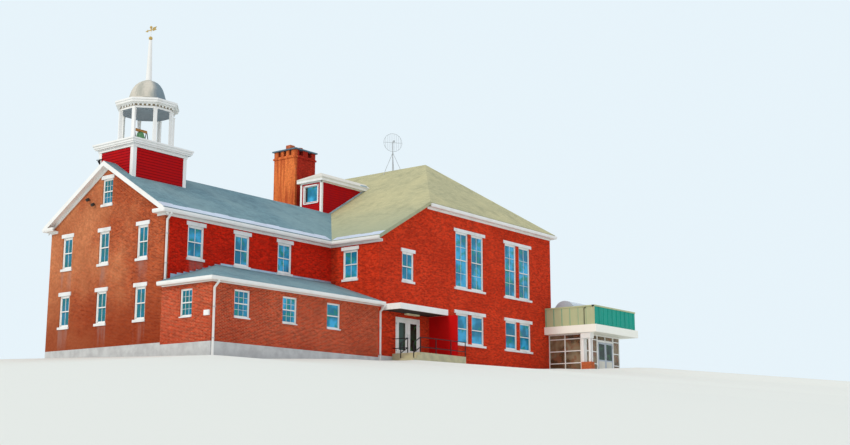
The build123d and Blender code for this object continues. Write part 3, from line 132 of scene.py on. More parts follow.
class Finish:
    """A material being mixed. Its methods add nodes and give back the socket with their result."""

    def __init__(self, roughness=0.6, metallic=0.0, shine=0.5):
        self.material = bpy.data.materials.new("finish")
        self.material.use_nodes = True
        self.tree = self.material.node_tree
        self.shader = self.tree.nodes["Principled BSDF"]
        self.set("Roughness", roughness)
        self.set("Metallic", metallic)
        self.set("Specular IOR Level", shine)
        self.place = self.add("ShaderNodeTexCoord").outputs["Object"]
        self.x, self.y, self.z = self.add("ShaderNodeSeparateXYZ", Vector=self.place).outputs

    def set(self, label, value):
        """Give the shader one of its inputs."""
        feed(self.tree, self.shader.inputs[label], value)

    def add(self, kind, settings=None, **values):
        """A node with its settings, and inputs that are each a value or another node's socket."""
        node = self.tree.nodes.new(kind)
        for key, value in (settings or {}).items():
            setattr(node, key, value)
        for key, value in values.items():
            feed(self.tree, node.inputs[key.replace("_", " ")], value)
        return node

    def maths(self, operation, *terms):
        """The result of a Math node."""
        return maths(self.tree, operation, *terms)

    def times(self, one, other):
        """One times the other."""
        return self.maths("MULTIPLY", one, other)

    def minus(self, one, other):
        """One less the other."""
        return self.maths("SUBTRACT", one, other)

    def noise(self, scale, detail, upright=None):
        """Noise from 0 to 1. Upright is how many times finer it is along Z."""
        place = self.place
        if upright:
            node = self.add("ShaderNodeVectorMath", {"operation": "MULTIPLY"})
            place = feed_all(self.tree, node, (place, (1.0, 1.0, upright)))
        return self.add("ShaderNodeTexNoise", Vector=place, Scale=scale, Detail=detail,
                        Roughness=NOISE_ROUGHNESS).outputs[0]

    def ramp(self, value, low, high, to_low=0.0, to_high=1.0):
        """Value taken from low..high to to_low..to_high, and held there past its ends."""
        return self.add("ShaderNodeMapRange", {"interpolation_type": "SMOOTHSTEP"}, Value=value, From_Min=low,
                        From_Max=high, To_Min=to_low, To_Max=to_high).outputs[0]

    def mottle(self, scale, detail, low, high, amount=1.0, upright=None):
        """Noise taken from low..high to 0..amount."""
        return self.ramp(self.noise(scale, detail, upright), low, high, 0.0, amount)

    def blend(self, share, low, high, kind="MIX"):
        """Two colours mixed by share."""
        node = self.add("ShaderNodeMix", {"data_type": "RGBA", "blend_type": kind})
        for index, value in ((0, share), (6, low), (7, high)):
            feed(self.tree, node.inputs[index], value)
        return node.outputs[2]

    def grained(self, tone, scale, detail, low, high, reach):
        """A tone made darker and lighter by fine noise, by up to reach."""
        grey = self.ramp(self.noise(scale, detail), low, high, 1 - reach, 1 + reach)
        return self.blend(1.0, tone, combine(self.tree, grey, grey, grey), "MULTIPLY")

    def courses(self, up, size, joint, smooth, bias, face, dark, mortar):
        """Rows of blocks, each set off by half a block: their colours, and where the joints are."""
        along = self.maths("ADD", self.x, self.y)
        node = self.add(
            "ShaderNodeTexBrick", {"offset": 0.5}, Vector=combine(self.tree, along, up), Scale=1.0,
            Mortar_Size=joint, Mortar_Smooth=smooth, Bias=bias, Brick_Width=size[0], Row_Height=size[1],
            Color1=face, Color2=dark, Mortar=mortar)
        return node.outputs["Color"], node.outputs["Fac"]

    def bump(self, height, depth, strength):
        """Raise the surface by height times depth, in metres."""
        node = self.add("ShaderNodeBump", Height=height, Distance=depth, Strength=strength)
        self.set("Normal", node.outputs[0])

    def brushed(self):
        """Faint brush marks."""
        self.bump(self.noise(40.0, 3.0, 0.2), 0.002, 0.35)


BRICK = (0.213, 0.0677)
MORTAR_JOINT = 0.010
SOOT = 0.35
SILL_STAIN = (0.34, 0.20, 0.17)
SHINGLE = (0.3, 0.14)
BOARD_EXPOSURE = 0.155


def deeper(colour, share):
    """A colour taken down to a share of itself."""
    return tuple(value * share for value in colour)


def brickwork(face, dark, mortar, stains=None, sunny=None, foot=(2.2, 0.28), runs=0.0):
    """Coursed brick with a joint of mortar, brick-to-brick colour and broad weathering.

    Stains are the grey runs under rows of sills: (axis, first, pitch, half width, sill heights).
    Sunny is painted sunlight, a paler brick that the wall fades to: (axis, from, to, colour). Foot is how far
    up the wall darkens towards the ground, and how strongly: damp, and on the gable painted tree shade. Runs
    is the strength of dark upright streaks.
    """
    wall = Finish(roughness=0.95, shine=0.04)
    line = {"x": wall.x, "y": wall.y}
    tone, joints = wall.courses(wall.z, BRICK, MORTAR_JOINT / 2, 0.1, -0.1, face, dark, mortar)
    bricks = wall.minus(1.0, joints)
    # Painted sunlight: where sunny is given, the wall fades to a paler brick along one axis.
    if sunny:
        axis, start, end, pale = sunny
        drift = wall.times(wall.minus(wall.noise(0.35, 4.0), 0.5), 3.0 * (end - start))
        share = wall.ramp(wall.maths("ADD", line[axis], drift), start, end, 0.0, 0.85)
        tone = wall.blend(wall.times(share, bricks), tone, pale)
    tone = wall.blend(wall.mottle(0.45, 5.0, 0.3, 0.7, SOOT), tone, dark)
    if runs:
        tone = wall.blend(wall.mottle(5.0, 3.0, 0.45, 0.6, runs, 0.06), tone, dark)
    tone = wall.grained(tone, 9.0, 4.0, 0.25, 0.75, 0.2)
    # Darker towards the foot: damp, and on the gable painted tree shade.
    tone = wall.blend(wall.ramp(wall.z, 0.3, *foot, 0.0), tone, dark)
    if stains:
        axis, first, pitch, half_width, sills = stains
        aside = wall.maths("PINGPONG", wall.minus(line[axis], first), pitch / 2)
        run = wall.ramp(aside, half_width * 0.75, half_width, 1.0, 0.0)
        fades = 0.0
        for sill in sills:
            below = wall.minus(sill, wall.z)
            fade = wall.times(wall.ramp(below, 0.0, 0.05), wall.ramp(below, 0.2, 1.5, 1.0, 0.0))
            fades = wall.maths("MAXIMUM", fades, fade)
        drips = wall.times(wall.mottle(2.2, 4.0, 0.35, 0.62, 1.0, 0.12), 0.55)
        tone = wall.blend(wall.times(wall.times(run, fades), drips), tone, SILL_STAIN)
    wall.set("Base Color", tone)
    wall.bump(bricks, 0.006, 0.8)
    return wall.material


def shingled(face, dark, streak, slope, moss=None):
    """Courses of square tabs up a slope, with run-off streaks down it.

    Moss is the tint of its lower part: (level, reach, colour).
    """
    roof = Finish(roughness=0.95, shine=0.2)
    up_slope = roof.times(roof.z, math.sqrt(1 + slope * slope) / slope)
    tone, _ = roof.courses(up_slope, SHINGLE, 0.006, 0.4, -0.2, face, dark, deeper(dark, 0.55))
    tone = roof.blend(roof.mottle(0.3, 4.0, 0.35, 0.7, 0.6), tone, streak)
    tone = roof.blend(roof.mottle(1.3, 4.0, 0.5, 0.72, 0.4, 0.08), tone, deeper(dark, 0.7))
    if moss:
        level, reach, colour = moss
        tone = roof.blend(roof.ramp(roof.z, level, level + reach, 0.75, 0.0), tone, colour)
    roof.set("Base Color", roof.grained(tone, 30.0, 2.0, 0.2, 0.8, 0.15))
    butt = roof.maths("FRACT", roof.maths("DIVIDE", up_slope, SHINGLE[1]))
    roof.bump(roof.minus(1.0, butt), 0.006, 0.7)
    return roof.material


def painted(colour, grime, roughness=0.45, metallic=0.0, amount=0.25, shine=0.4):
    """Paint with faint brush grain, and grime in broad runs."""
    coat = Finish(roughness, metallic, shine)
    coat.set("Base Color", coat.blend(coat.mottle(1.4, 5.0, 0.4, 0.75, amount, 0.35), colour, grime))
    coat.set("Roughness", coat.ramp(coat.noise(6.0, 3.0), 0.3, 0.7, roughness - 0.08, roughness + 0.1))
    coat.brushed()
    return coat.material


def lapped(colour, dark, line):
    """Painted boards: each course darkens to a shadow line under the butt of the one above."""
    boards = Finish(roughness=0.75, shine=0.06)
    tone = boards.blend(boards.mottle(1.4, 5.0, 0.35, 0.75, 0.7, 0.35), colour, dark)
    course = boards.maths("FRACT", boards.maths("DIVIDE", boards.z, BOARD_EXPOSURE))
    boards.set("Base Color", boards.blend(boards.ramp(course, 0.72, 0.97, 0.0, 0.85), tone, line))
    boards.brushed()
    return boards.material


def cast_stone(colour, dark, scale=2.0):
    """Concrete or painted foundation, blotched, with fine pits."""
    stone = Finish(roughness=0.9, shine=0.2)
    tone = stone.blend(stone.mottle(scale, 6.0, 0.35, 0.7, 0.75), colour, dark)
    stone.set("Base Color", stone.blend(stone.ramp(stone.z, 0.0, 0.5, 0.5, 0.0), tone, dark))
    stone.bump(stone.noise(35.0, 4.0), 0.004, 0.6)
    return stone.material


def window_panes(sky, deep, leaf, alpha, gable=None):
    """Glass with painted reflections, of sky in some panes and of greenery in a few, and a painted dark room
    in others.

    Gable is the (x, colour) west of which the panes show a painted reflection of the low sky.
    """
    glass = Finish(roughness=0.08, shine=0.3)
    # Painted reflections of sky and greenery over the painted dark of the room behind.
    tone = glass.blend(glass.mottle(0.9, 2.0, 0.4, 0.62), deep, sky)
    tone = glass.blend(glass.mottle(2.3, 3.0, 0.52, 0.62, 0.8), tone, leaf)
    if gable:
        x, low_sky = gable
        pale = glass.blend(glass.mottle(1.6, 3.0, 0.42, 0.6), low_sky, deep)
        tone = glass.blend(glass.ramp(glass.x, x - 0.05, x + 0.05, 1.0, 0.0), tone, pale)
    glass.set("Base Color", tone)
    glass.set("Alpha", alpha)
    glass.bump(glass.noise(2.5, 1.0), 0.0015, 0.3)
    return glass.material


def sheet_dome():
    """Weathered sheet: pale grey-brown, with painted blue-grey shade on the side away from the sun."""
    sheet = Finish(roughness=0.7, metallic=0.1, shine=0.3)
    tone = sheet.blend(sheet.mottle(3.0, 5.0, 0.4, 0.68, 0.8, 0.25), (0.62, 0.58, 0.49), (0.40, 0.40, 0.34))
    # Painted shade: the sheet turns blue-grey on the side of the dome away from the sun.
    aside = sheet.minus(sheet.times(sheet.minus(sheet.x, belfry_x), 0.8),
                        sheet.times(sheet.minus(sheet.y, belfry_y), 0.6))
    drift = sheet.times(sheet.minus(sheet.noise(2.0, 4.0), 0.5), 0.3)
    painted_shade = sheet.ramp(sheet.maths("ADD", aside, drift), 0.0, 0.5, 0.0, 0.85)
    laps = sheet.ramp(sheet.maths("FRACT", sheet.times(sheet.z, 5.0)), 0.0, 0.06, 0.5, 0.0)
    tone = sheet.blend(painted_shade, tone, (0.13, 0.21, 0.26))
    sheet.set("Base Color", sheet.blend(laps, tone, (0.26, 0.26, 0.23)))
    sheet.bump(sheet.noise(6.0, 3.0), 0.004, 0.5)
    return sheet.material


def metal(colour, roughness, metallic=1.0):
    """Bare or gilded metal, dulled in patches."""
    face = Finish(roughness, metallic)
    face.set("Base Color", face.blend(face.mottle(8.0, 4.0, 0.35, 0.7, 0.4), colour, deeper(colour, 0.55)))
    face.set("Roughness", face.ramp(face.noise(14.0, 3.0), 0.3, 0.7, roughness, roughness + 0.2))
    return face.material


# Where the CAD's parts stand

base_low, base_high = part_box("belfry_base")
belfry_x = (base_low[0] + base_high[0]) / 2
belfry_y = (base_low[1] + base_high[1]) / 2
cornice_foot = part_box("belfry_cornice")[0][2]
drum_foot, drum_top = (corner[2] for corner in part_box("belfry_drum"))
post_foot, post_top = (corner[2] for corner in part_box("belfry_posts"))
gable_low, gable_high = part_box("gable_wall")
chimney_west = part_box("chimney")[0][0]
dormer_low, dormer_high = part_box("dormer_walls")
wing_roof_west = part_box("wing_roof_south")[0][0]
main_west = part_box("main_west_wall")[0][0]
annex_low, annex_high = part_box("annex_roof")
parapet_low, parapet_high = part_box("lobby_parapet")
lobby_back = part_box("lobby_fascia")[1][1]
canopy_low, canopy_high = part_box("entrance_canopy")

GABLE_STAINS = ("y", gable_low[1] + 1.65, 3.075, 0.5, (1.9, 5.02))
SIDE_STAINS = ("x", gable_low[0] + 2.09, 3.265, 0.62, (5.1,))
# Painted sunlight: the gable fades to paler brick along y, and the chimney to paler brick on its west face.
GABLE_SUN = ("y", -2.5, 3.5, (0.60, 0.21, 0.085))
CHIMNEY_SUN = ("x", chimney_west + 0.30, chimney_west + 0.16, (0.92, 0.27, 0.07))
# Painted reflection of the low sky in the gable's panes.
GABLE_GLASS = (-17.3, (0.006, 0.16, 0.19))
MAIN_ROOF_MOSS = (7.4, 3.4, (0.32, 0.37, 0.26))
WING_SLOPE = 0.618
MAIN_SLOPE = 0.63

finish = {
    # The gable darkens up to 5.5 m at its foot: painted tree shade on its lower part.
    "gable_brick": brickwork((0.52, 0.085, 0.022), (0.23, 0.028, 0.008), (0.62, 0.34, 0.19),
                             stains=GABLE_STAINS, sunny=GABLE_SUN, foot=(5.5, 0.75)),
    "side_brick": brickwork((0.74, 0.013, 0.003), (0.34, 0.006, 0.003), (0.60, 0.08, 0.035),
                            stains=SIDE_STAINS),
    "annex_brick": brickwork((0.64, 0.060, 0.016), (0.26, 0.020, 0.007), (0.76, 0.48, 0.28)),
    "main_brick": brickwork((0.80, 0.042, 0.009), (0.36, 0.015, 0.005), (0.62, 0.15, 0.07)),
    "chimney_brick": brickwork((0.50, 0.026, 0.014), (0.30, 0.016, 0.010), (0.50, 0.10, 0.05),
                               sunny=CHIMNEY_SUN, runs=0.45),
    "pier_brick": brickwork((0.62, 0.16, 0.05), (0.42, 0.08, 0.03), (0.56, 0.30, 0.16)),
    "wing_shingles": shingled((0.18, 0.31, 0.35), (0.12, 0.22, 0.26), (0.24, 0.36, 0.38), WING_SLOPE),
    "main_shingles": shingled((0.50, 0.48, 0.28), (0.38, 0.38, 0.23), (0.56, 0.52, 0.29), MAIN_SLOPE,
                              MAIN_ROOF_MOSS),
    "flat_roofing": painted((0.70, 0.68, 0.60), (0.54, 0.53, 0.48), roughness=0.8, amount=0.6),
    "white_trim": painted((0.86, 0.86, 0.83), (0.66, 0.62, 0.54)),
    "stone_white": painted((0.80, 0.81, 0.80), (0.52, 0.50, 0.46), roughness=0.7, amount=0.6),
    "foundation": cast_stone((0.56, 0.57, 0.56), (0.40, 0.40, 0.40)),
    "concrete": cast_stone((0.52, 0.48, 0.30), (0.36, 0.34, 0.24)),
    "red_boards": lapped((0.48, 0.005, 0.006), (0.36, 0.006, 0.014), (0.17, 0.004, 0.008)),
    "red_screen": painted((0.58, 0.006, 0.006), (0.44, 0.006, 0.006), roughness=0.8, amount=0.5, shine=0.05),
    "dome_sheet": sheet_dome(),
    "gilt": metal((0.66, 0.44, 0.14), 0.3),
    # The glass colours are painted reflections of sky and greenery over a painted dark room.
    "panes": window_panes((0.05, 0.46, 0.78), (0.01, 0.20, 0.34), (0.02, 0.30, 0.22), 0.92, GABLE_GLASS),
    "lobby_panes": window_panes((0.34, 0.26, 0.16), (0.14, 0.08, 0.04), (0.30, 0.13, 0.07), 0.74),
    "ribbed_sheet": painted((0.50, 0.54, 0.31), (0.38, 0.42, 0.26), roughness=0.5, amount=0.5, shine=0.2),
    "teal_sheet": painted((0.006, 0.34, 0.25), (0.006, 0.24, 0.19), roughness=0.4, amount=0.4, shine=0.12),
    "fascia_white": painted((0.95, 0.94, 0.84), (0.84, 0.83, 0.72), amount=0.15, shine=0.3),
    "rooflight_skin": painted((0.52, 0.60, 0.66), (0.42, 0.48, 0.54), roughness=0.2),
    "black_enamel": painted((0.006, 0.006, 0.008), (0.016, 0.015, 0.015), shine=0.25),
    "galvanised": metal((0.55, 0.56, 0.57), 0.4, 0.8),
    # Nearly black: painted shade under the entrance canopy; the flood lights and the dormer's stile use it
    # too.
    "soffit": painted((0.030, 0.026, 0.022), (0.05, 0.045, 0.035), roughness=0.8),
    # Grey-blue: painted shade on the lantern's ceiling.
    "lantern_ceiling": painted((0.22, 0.27, 0.31), (0.14, 0.18, 0.20), roughness=0.7),
    "shadow_board": painted((0.26, 0.20, 0.12), (0.18, 0.14, 0.09), roughness=0.8),
    "floor_boards": painted((0.42, 0.30, 0.18), (0.30, 0.20, 0.12), roughness=0.5),
    "eave_sheet": painted((0.58, 0.66, 0.78), (0.44, 0.50, 0.60), roughness=0.4, metallic=0.2, amount=0.5),
    "flashing": painted((0.40, 0.54, 0.66), (0.20, 0.30, 0.40), roughness=0.35, metallic=0.3, amount=0.7),
    "shade_cloth": painted((0.72, 0.80, 0.82), (0.60, 0.66, 0.66), roughness=0.9),
    "pot_clay": cast_stone((0.56, 0.15, 0.06), (0.36, 0.09, 0.04), 4.0),
    "slate_cap": cast_stone((0.13, 0.22, 0.28), (0.08, 0.12, 0.16), 3.0),
    "bronze": metal((0.16, 0.38, 0.18), 0.5, 0.4),
    "oak_yoke": painted((0.55, 0.24, 0.06), (0.34, 0.14, 0.04), roughness=0.7),
    "lamp_lens": painted((0.80, 0.78, 0.50), (0.66, 0.62, 0.40), roughness=0.3),
    "door_glass": window_panes((0.02, 0.06, 0.04), (0.010, 0.018, 0.014), (0.02, 0.10, 0.03), 1.0),
    "door_grey": painted((0.42, 0.46, 0.52), (0.34, 0.37, 0.42), roughness=0.4),
}
for name, material in finish.items():
    material.name = name

NODE_FINISH = {
    "gable_brick": ["gable_wall"],
    "side_brick": ["wing_side_walls"],
    "annex_brick": ["annex_west_wall", "annex_south_wall"],
    "main_brick": ["front_wall", "front_wall_over_doors", "main_west_wall", "main_east_wall",
                   "main_north_wall"],
    "chimney_brick": ["chimney"],
    "pier_brick": ["lobby_corner_pier"],
    "pot_clay": ["chimney_pots"],
    "wing_shingles": ["wing_roof_south", "wing_roof_north", "annex_roof"],
    "main_shingles": ["main_roof", "catslide_roof"],
    "flat_roofing": ["dormer_roof"],
    "white_trim": ["cornices", "belfry_cornice", "belfry_posts", "belfry_drum", "dormer_cornice",
                   "window_frames", "door_frames", "spire", "entrance_door_left", "entrance_door_right",
                   "entrance_canopy", "lobby_west_frame", "lobby_front_frame", "lobby_posts", "downspouts"],
    "fascia_white": ["lobby_fascia"],
    "stone_white": ["lintels_and_sills"],
    "foundation": ["wing_base", "annex_base", "main_base", "lobby_base"],
    "concrete": ["entrance_landing"],
    "floor_boards": ["wing_upper_floors", "main_upper_floors"],
    "red_boards": ["dormer_walls", "belfry_base"],
    "red_screen": ["screen_wall"],
    "dome_sheet": ["belfry_dome"],
    "gilt": ["weather_vane", "gilt_balls"],
    "door_grey": ["lobby_door_left", "lobby_door_right"],
    "panes": ["window_glass"],
    "lobby_panes": ["lobby_glass"],
    "ribbed_sheet": ["lobby_parapet", "lobby_back_walls"],
    "rooflight_skin": ["lobby_rooflight"],
    "black_enamel": ["handrails"],
    "galvanised": ["aerial", "door_hinges"],
    "slate_cap": ["chimney_cap"],
}
for name, nodes in NODE_FINISH.items():
    for node in nodes:
        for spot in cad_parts[node].material_slots:
            spot.material = finish[name]


# Shaping helpers

TRIM = {"material": "white_trim", "slot": "white_paint"}


def beam(shape, low, high):
    """Add a square-edged stick between two corners."""
    middle = [(a + b) / 2 for a, b in zip(low, high)]
    size = [abs(b - a) for a, b in zip(low, high)]
    bmesh.ops.create_cube(shape, size=1.0, matrix=Matrix.Translation(middle) @ Matrix.Diagonal((*size, 1.0)))


def tube(shape, start, end, radius, sides=10):
    """Add a round rod between two points."""
    line = Vector(end) - Vector(start)
    turn = line.to_track_quat("Z", "Y").to_matrix().to_4x4()
    place = Matrix.Translation((Vector(start) + Vector(end)) / 2)
    bmesh.ops.create_cone(shape, cap_ends=True, segments=sides, radius1=radius, radius2=radius,
                          depth=line.length, matrix=place @ turn)


def skin_rings(shape, rings, capped=True):
    """Faces between each ring of corners and the next, and over both ends if capped."""
    for low, high in zip(rings, rings[1:]):
        for side in range(len(low)):
            after = (side + 1) % len(low)
            shape.faces.new((low[side], low[after], high[after], high[side]))
    if capped:
        shape.faces.new(reversed(rings[0]))
        shape.faces.new(rings[-1])


def mesh_of(name, shape):
    """A built shape as a mesh, with its normals outwards."""
    bmesh.ops.recalc_face_normals(shape, faces=shape.faces[:])
    mesh = bpy.data.meshes.new(name)
    shape.to_mesh(mesh)
    shape.free()
    return mesh


def piece_from(name, mesh, material, body=BODY, slot=None, replaces=()):
    """Make a mesh a finished piece that rides on a body."""
    made = add_object(name, mesh)
    mesh.materials.clear()
    mesh.materials.append(finish[material])
    for face in mesh.polygons:
        face.material_index = 0
    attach(made, body)
    if replaces:
        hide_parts(*replaces)


def piece(name, shape, material, **ride):
    """Make a built shape a finished piece."""
    piece_from(name, mesh_of(name, shape), material, **ride)


def stick_piece(name, sticks, material, eased=0.0, **ride):
    """A piece of square-edged sticks, each between two corners, with every edge eased by a width."""
    shape = bmesh.new()
    for low, high in sticks:
        beam(shape, low, high)
    if eased:
        bmesh.ops.bevel(shape, geom=shape.edges[:], offset=eased, segments=1, affect="EDGES",
                        clamp_overlap=True)
    piece(name, shape, material, **ride)


def rod_piece(name, rods, material, **ride):
    """A piece of round rods: (start, end, radius) and, where it isn't the usual one, the number of sides."""
    shape = bmesh.new()
    for rod in rods:
        tube(shape, *rod)
    piece(name, shape, material, **ride)


def turned_piece(name, profile, spot, sides, material, start=0.0, ring=False, **ride):
    """A piece turned from a profile of (radius, height) about a spot: a solid, or a ring if it closes."""
    shape = bmesh.new()
    angles = [start + math.tau * side / sides for side in range(sides)]
    rings = [[shape.verts.new((spot[0] + radius * math.cos(angle), spot[1] + radius * math.sin(angle),
                               spot[2] + height)) for angle in angles] for radius, height in profile]
    skin_rings(shape, rings + rings[:1] if ring else rings, not ring)
    piece(name, shape, material, **ride)


def solid_boxes(node):
    """The lowest and highest corner of each solid in a CAD node."""
    copy = bmesh.new()
    copy.from_mesh(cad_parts[node].data)
    bmesh.ops.remove_doubles(copy, verts=copy.verts[:], dist=WELD)
    boxes, seen = [], set()
    for start in copy.verts:
        if start in seen:
            continue
        seen.add(start)
        island = [start]
        for vert in island:
            for edge in vert.link_edges:
                other = edge.other_vert(vert)
                if other not in seen:
                    seen.add(other)
                    island.append(other)
        boxes.append(tuple(tuple(end(v.co[axis] for v in island) for axis in range(3)) for end in (min, max)))
    copy.free()
    return boxes


class WallPlace:
    """A place on a wall: u runs along it, v up, and w outwards from the front of a box that stands in it."""

    def __init__(self, low, high):
        self.across = 0 if high[0] - low[0] < high[1] - low[1] else 1
        self.outward = 1 if low[self.across] + high[self.across] > 0 else -1
        self.front = high[self.across] if self.outward > 0 else low[self.across]
        self.low = (low[1 - self.across], low[2])
        self.high = (high[1 - self.across], high[2])

    def spot(self, u, v, w):
        """That place in the model's own axes."""
        point = [0.0, 0.0, v]
        point[self.across] = self.front + self.outward * w
        point[1 - self.across] = u
        return point

    def beam(self, shape, u, v, w):
        """Add a stick over three ranges."""
        beam(shape, *(self.spot(*corner) for corner in zip(u, v, w)))


# Geometry Nodes: trees that repeat one small part

def new_tree(name, sockets):
    """A Geometry Nodes tree with named inputs, the sockets that it is given, and its output node."""
    tree = bpy.data.node_groups.new(name, "GeometryNodeTree")
    tree.interface.new_socket("Geometry", in_out="OUTPUT", socket_type="NodeSocketGeometry")
    for label, kind in {"Geometry": "Geometry", "Part": "Object", "Finish": "Material", **sockets}.items():
        tree.interface.new_socket(label, in_out="INPUT", socket_type="NodeSocket" + kind)
    return tree, tree.nodes.new("NodeGroupInput").outputs, tree.nodes.new("NodeGroupOutput")


def new_nodes(tree, *kinds):
    """Several new nodes."""
    return [tree.nodes.new(kind) for kind in kinds]


def copy_part(tree, given, points, socket, value):
    """The tree's part on each point, made real. Value feeds the socket that turns or scales the copies."""
    part, copies, real = new_nodes(
        tree, "GeometryNodeObjectInfo", "GeometryNodeInstanceOnPoints", "GeometryNodeRealizeInstances")
    link(tree, (
        (given["Part"], part.inputs["Object"]),
        (points, copies.inputs["Points"]),
        (part.outputs["Geometry"], copies.inputs["Instance"]),
        (value, copies.inputs[socket]),
        (copies.outputs[0], real.inputs[0]),
    ))
    return real.outputs[0]


def coat_and_end(tree, given, made, geometry):
    """Give the geometry the tree's finish and hand it over."""
    coat = tree.nodes.new("GeometryNodeSetMaterial")
    link(tree, (
        (geometry, coat.inputs["Geometry"]),
        (given["Finish"], coat.inputs["Material"]),
        (coat.outputs[0], made.inputs[0]),
    ))
    return tree


def spread_tree():
    """Copies of a part, evenly spaced along a path and turned with it."""
    tree, given, made = new_tree("spread_along_path", {"Spacing": "Float"})
    points, yaw, pitch = new_nodes(tree, "GeometryNodeCurveToPoints", "FunctionNodeAlignRotationToVector",
                                   "FunctionNodeAlignRotationToVector")
    points.mode = "LENGTH"
    yaw.axis, yaw.pivot_axis = "X", "Z"
    pitch.axis, pitch.pivot_axis = "X", "Y"
    link(tree, (
        (given["Geometry"], points.inputs["Curve"]),
        (given["Spacing"], points.inputs["Length"]),
        (points.outputs["Tangent"], yaw.inputs["Vector"]),
        (yaw.outputs[0], pitch.inputs["Rotation"]),
        (points.outputs["Tangent"], pitch.inputs["Vector"]),
    ))
    copies = copy_part(tree, given, points.outputs["Points"], "Rotation", pitch.outputs[0])
    return coat_and_end(tree, given, made, copies)


def boards_tree():
    """Rows of one board up a wall, each cut to the length that the wall has at its height."""
    lengths = dict.fromkeys(("Exposure", "Foot Start", "Foot End", "Head Start", "Head End"), "Float")
    tree, given, made = new_tree("lapped_boards", {
        "Rows": "Int", **lengths, "Corner": "Vector", "Turn": "Vector"})
    rows, place, turn, index = new_nodes(tree, "GeometryNodeMeshLine", "GeometryNodeSetPosition",
                                         "GeometryNodeTransform", "GeometryNodeInputIndex")
    share = maths(tree, "DIVIDE", index.outputs[0], maths(tree, "SUBTRACT", given["Rows"], 1.0))

    def at_row(foot, head):
        rise = maths(tree, "SUBTRACT", given[head], given[foot])
        return maths(tree, "ADD", given[foot], maths(tree, "MULTIPLY", rise, share))

    start = at_row("Foot Start", "Head Start")
    length = maths(tree, "SUBTRACT", at_row("Foot End", "Head End"), start)
    copies = copy_part(tree, given, place.outputs[0], "Scale", combine(tree, length, 1.0, 1.0))
    link(tree, (
        (given["Rows"], rows.inputs["Count"]),
        (combine(tree, z=given["Exposure"]), rows.inputs["Offset"]),
        (rows.outputs[0], place.inputs["Geometry"]),
        (combine(tree, start), place.inputs["Offset"]),
        (copies, turn.inputs["Geometry"]),
        (given["Corner"], turn.inputs["Translation"]),
        (given["Turn"], turn.inputs["Rotation"]),
    ))
    return coat_and_end(tree, given, made, turn.outputs[0])


SPREAD = spread_tree()
BOARDS = boards_tree()


def run_tree(carrier, tree, part, material, values):
    """Run a tree on an object and give back the mesh that it makes. The carrier and the part go."""
    values = {"Part": part, "Finish": finish[material], **values}
    modifier = carrier.modifiers.new("tree", "NODES")
    modifier.node_group = tree
    for item in tree.interface.items_tree:
        if item.in_out == "INPUT" and item.name in values:
            modifier[item.identifier] = values[item.name]
    carrier.update_tag()
    bpy.context.view_layer.update()
    graph = bpy.context.evaluated_depsgraph_get()
    mesh = bpy.data.meshes.new_from_object(carrier.evaluated_get(graph), depsgraph=graph)
    bpy.data.objects.remove(carrier)
    bpy.data.objects.remove(part)
    return mesh


def spread(name, paths, part, spacing, material, **ride):
    """A piece of copies of a part along paths of straight runs."""
    curve = bpy.data.curves.new(name + "_path", "CURVE")
    curve.dimensions = "3D"
    for path in paths:
        run = curve.splines.new("POLY")
        run.points.add(len(path) - 1)
        for point, spot in zip(run.points, path):
            point.co = (*spot, 1.0)
    carrier = add_object(name + "_path", curve)
    piece_from(name, run_tree(carrier, SPREAD, part, material, {"Spacing": spacing}), material, **ride)


def block(name, low, high):
    """A loose stick for a tree to copy."""
    shape = bmesh.new()
    beam(shape, low, high)
    return add_object(name, mesh_of(name, shape))


# Windows: sashes, bars and shades

SASH_RAIL = 0.048
SMALL_RAIL = 0.036
MEETING_RAIL = 0.055
BORDER = 0.065
SMALL_BORDER = 0.045
UPPER_SASH = (-0.045, -0.012)
LOWER_SASH = (-0.062, -0.030)
BAR_BACK = 0.008
SHADE_BEHIND = (-0.078, -0.072)
SHADE_OVER = 0.03
SHADE_DROPS = (0.0, 0.3, 0.0, 0.0, 0.45, 0.0)
BARE_FROM_X = -10.0


def window_kind(width, height):
    """Frame border, sash rail, bar width, and panes across and up in each sash."""
    if height > 3:
        return BORDER, SASH_RAIL, 0.02, 2, 2
    if height > 1.5:
        return BORDER, SASH_RAIL, 0.02, (1 if width > 1.2 else 2), 1
    return SMALL_BORDER, SMALL_RAIL, 0.013, 3, 2


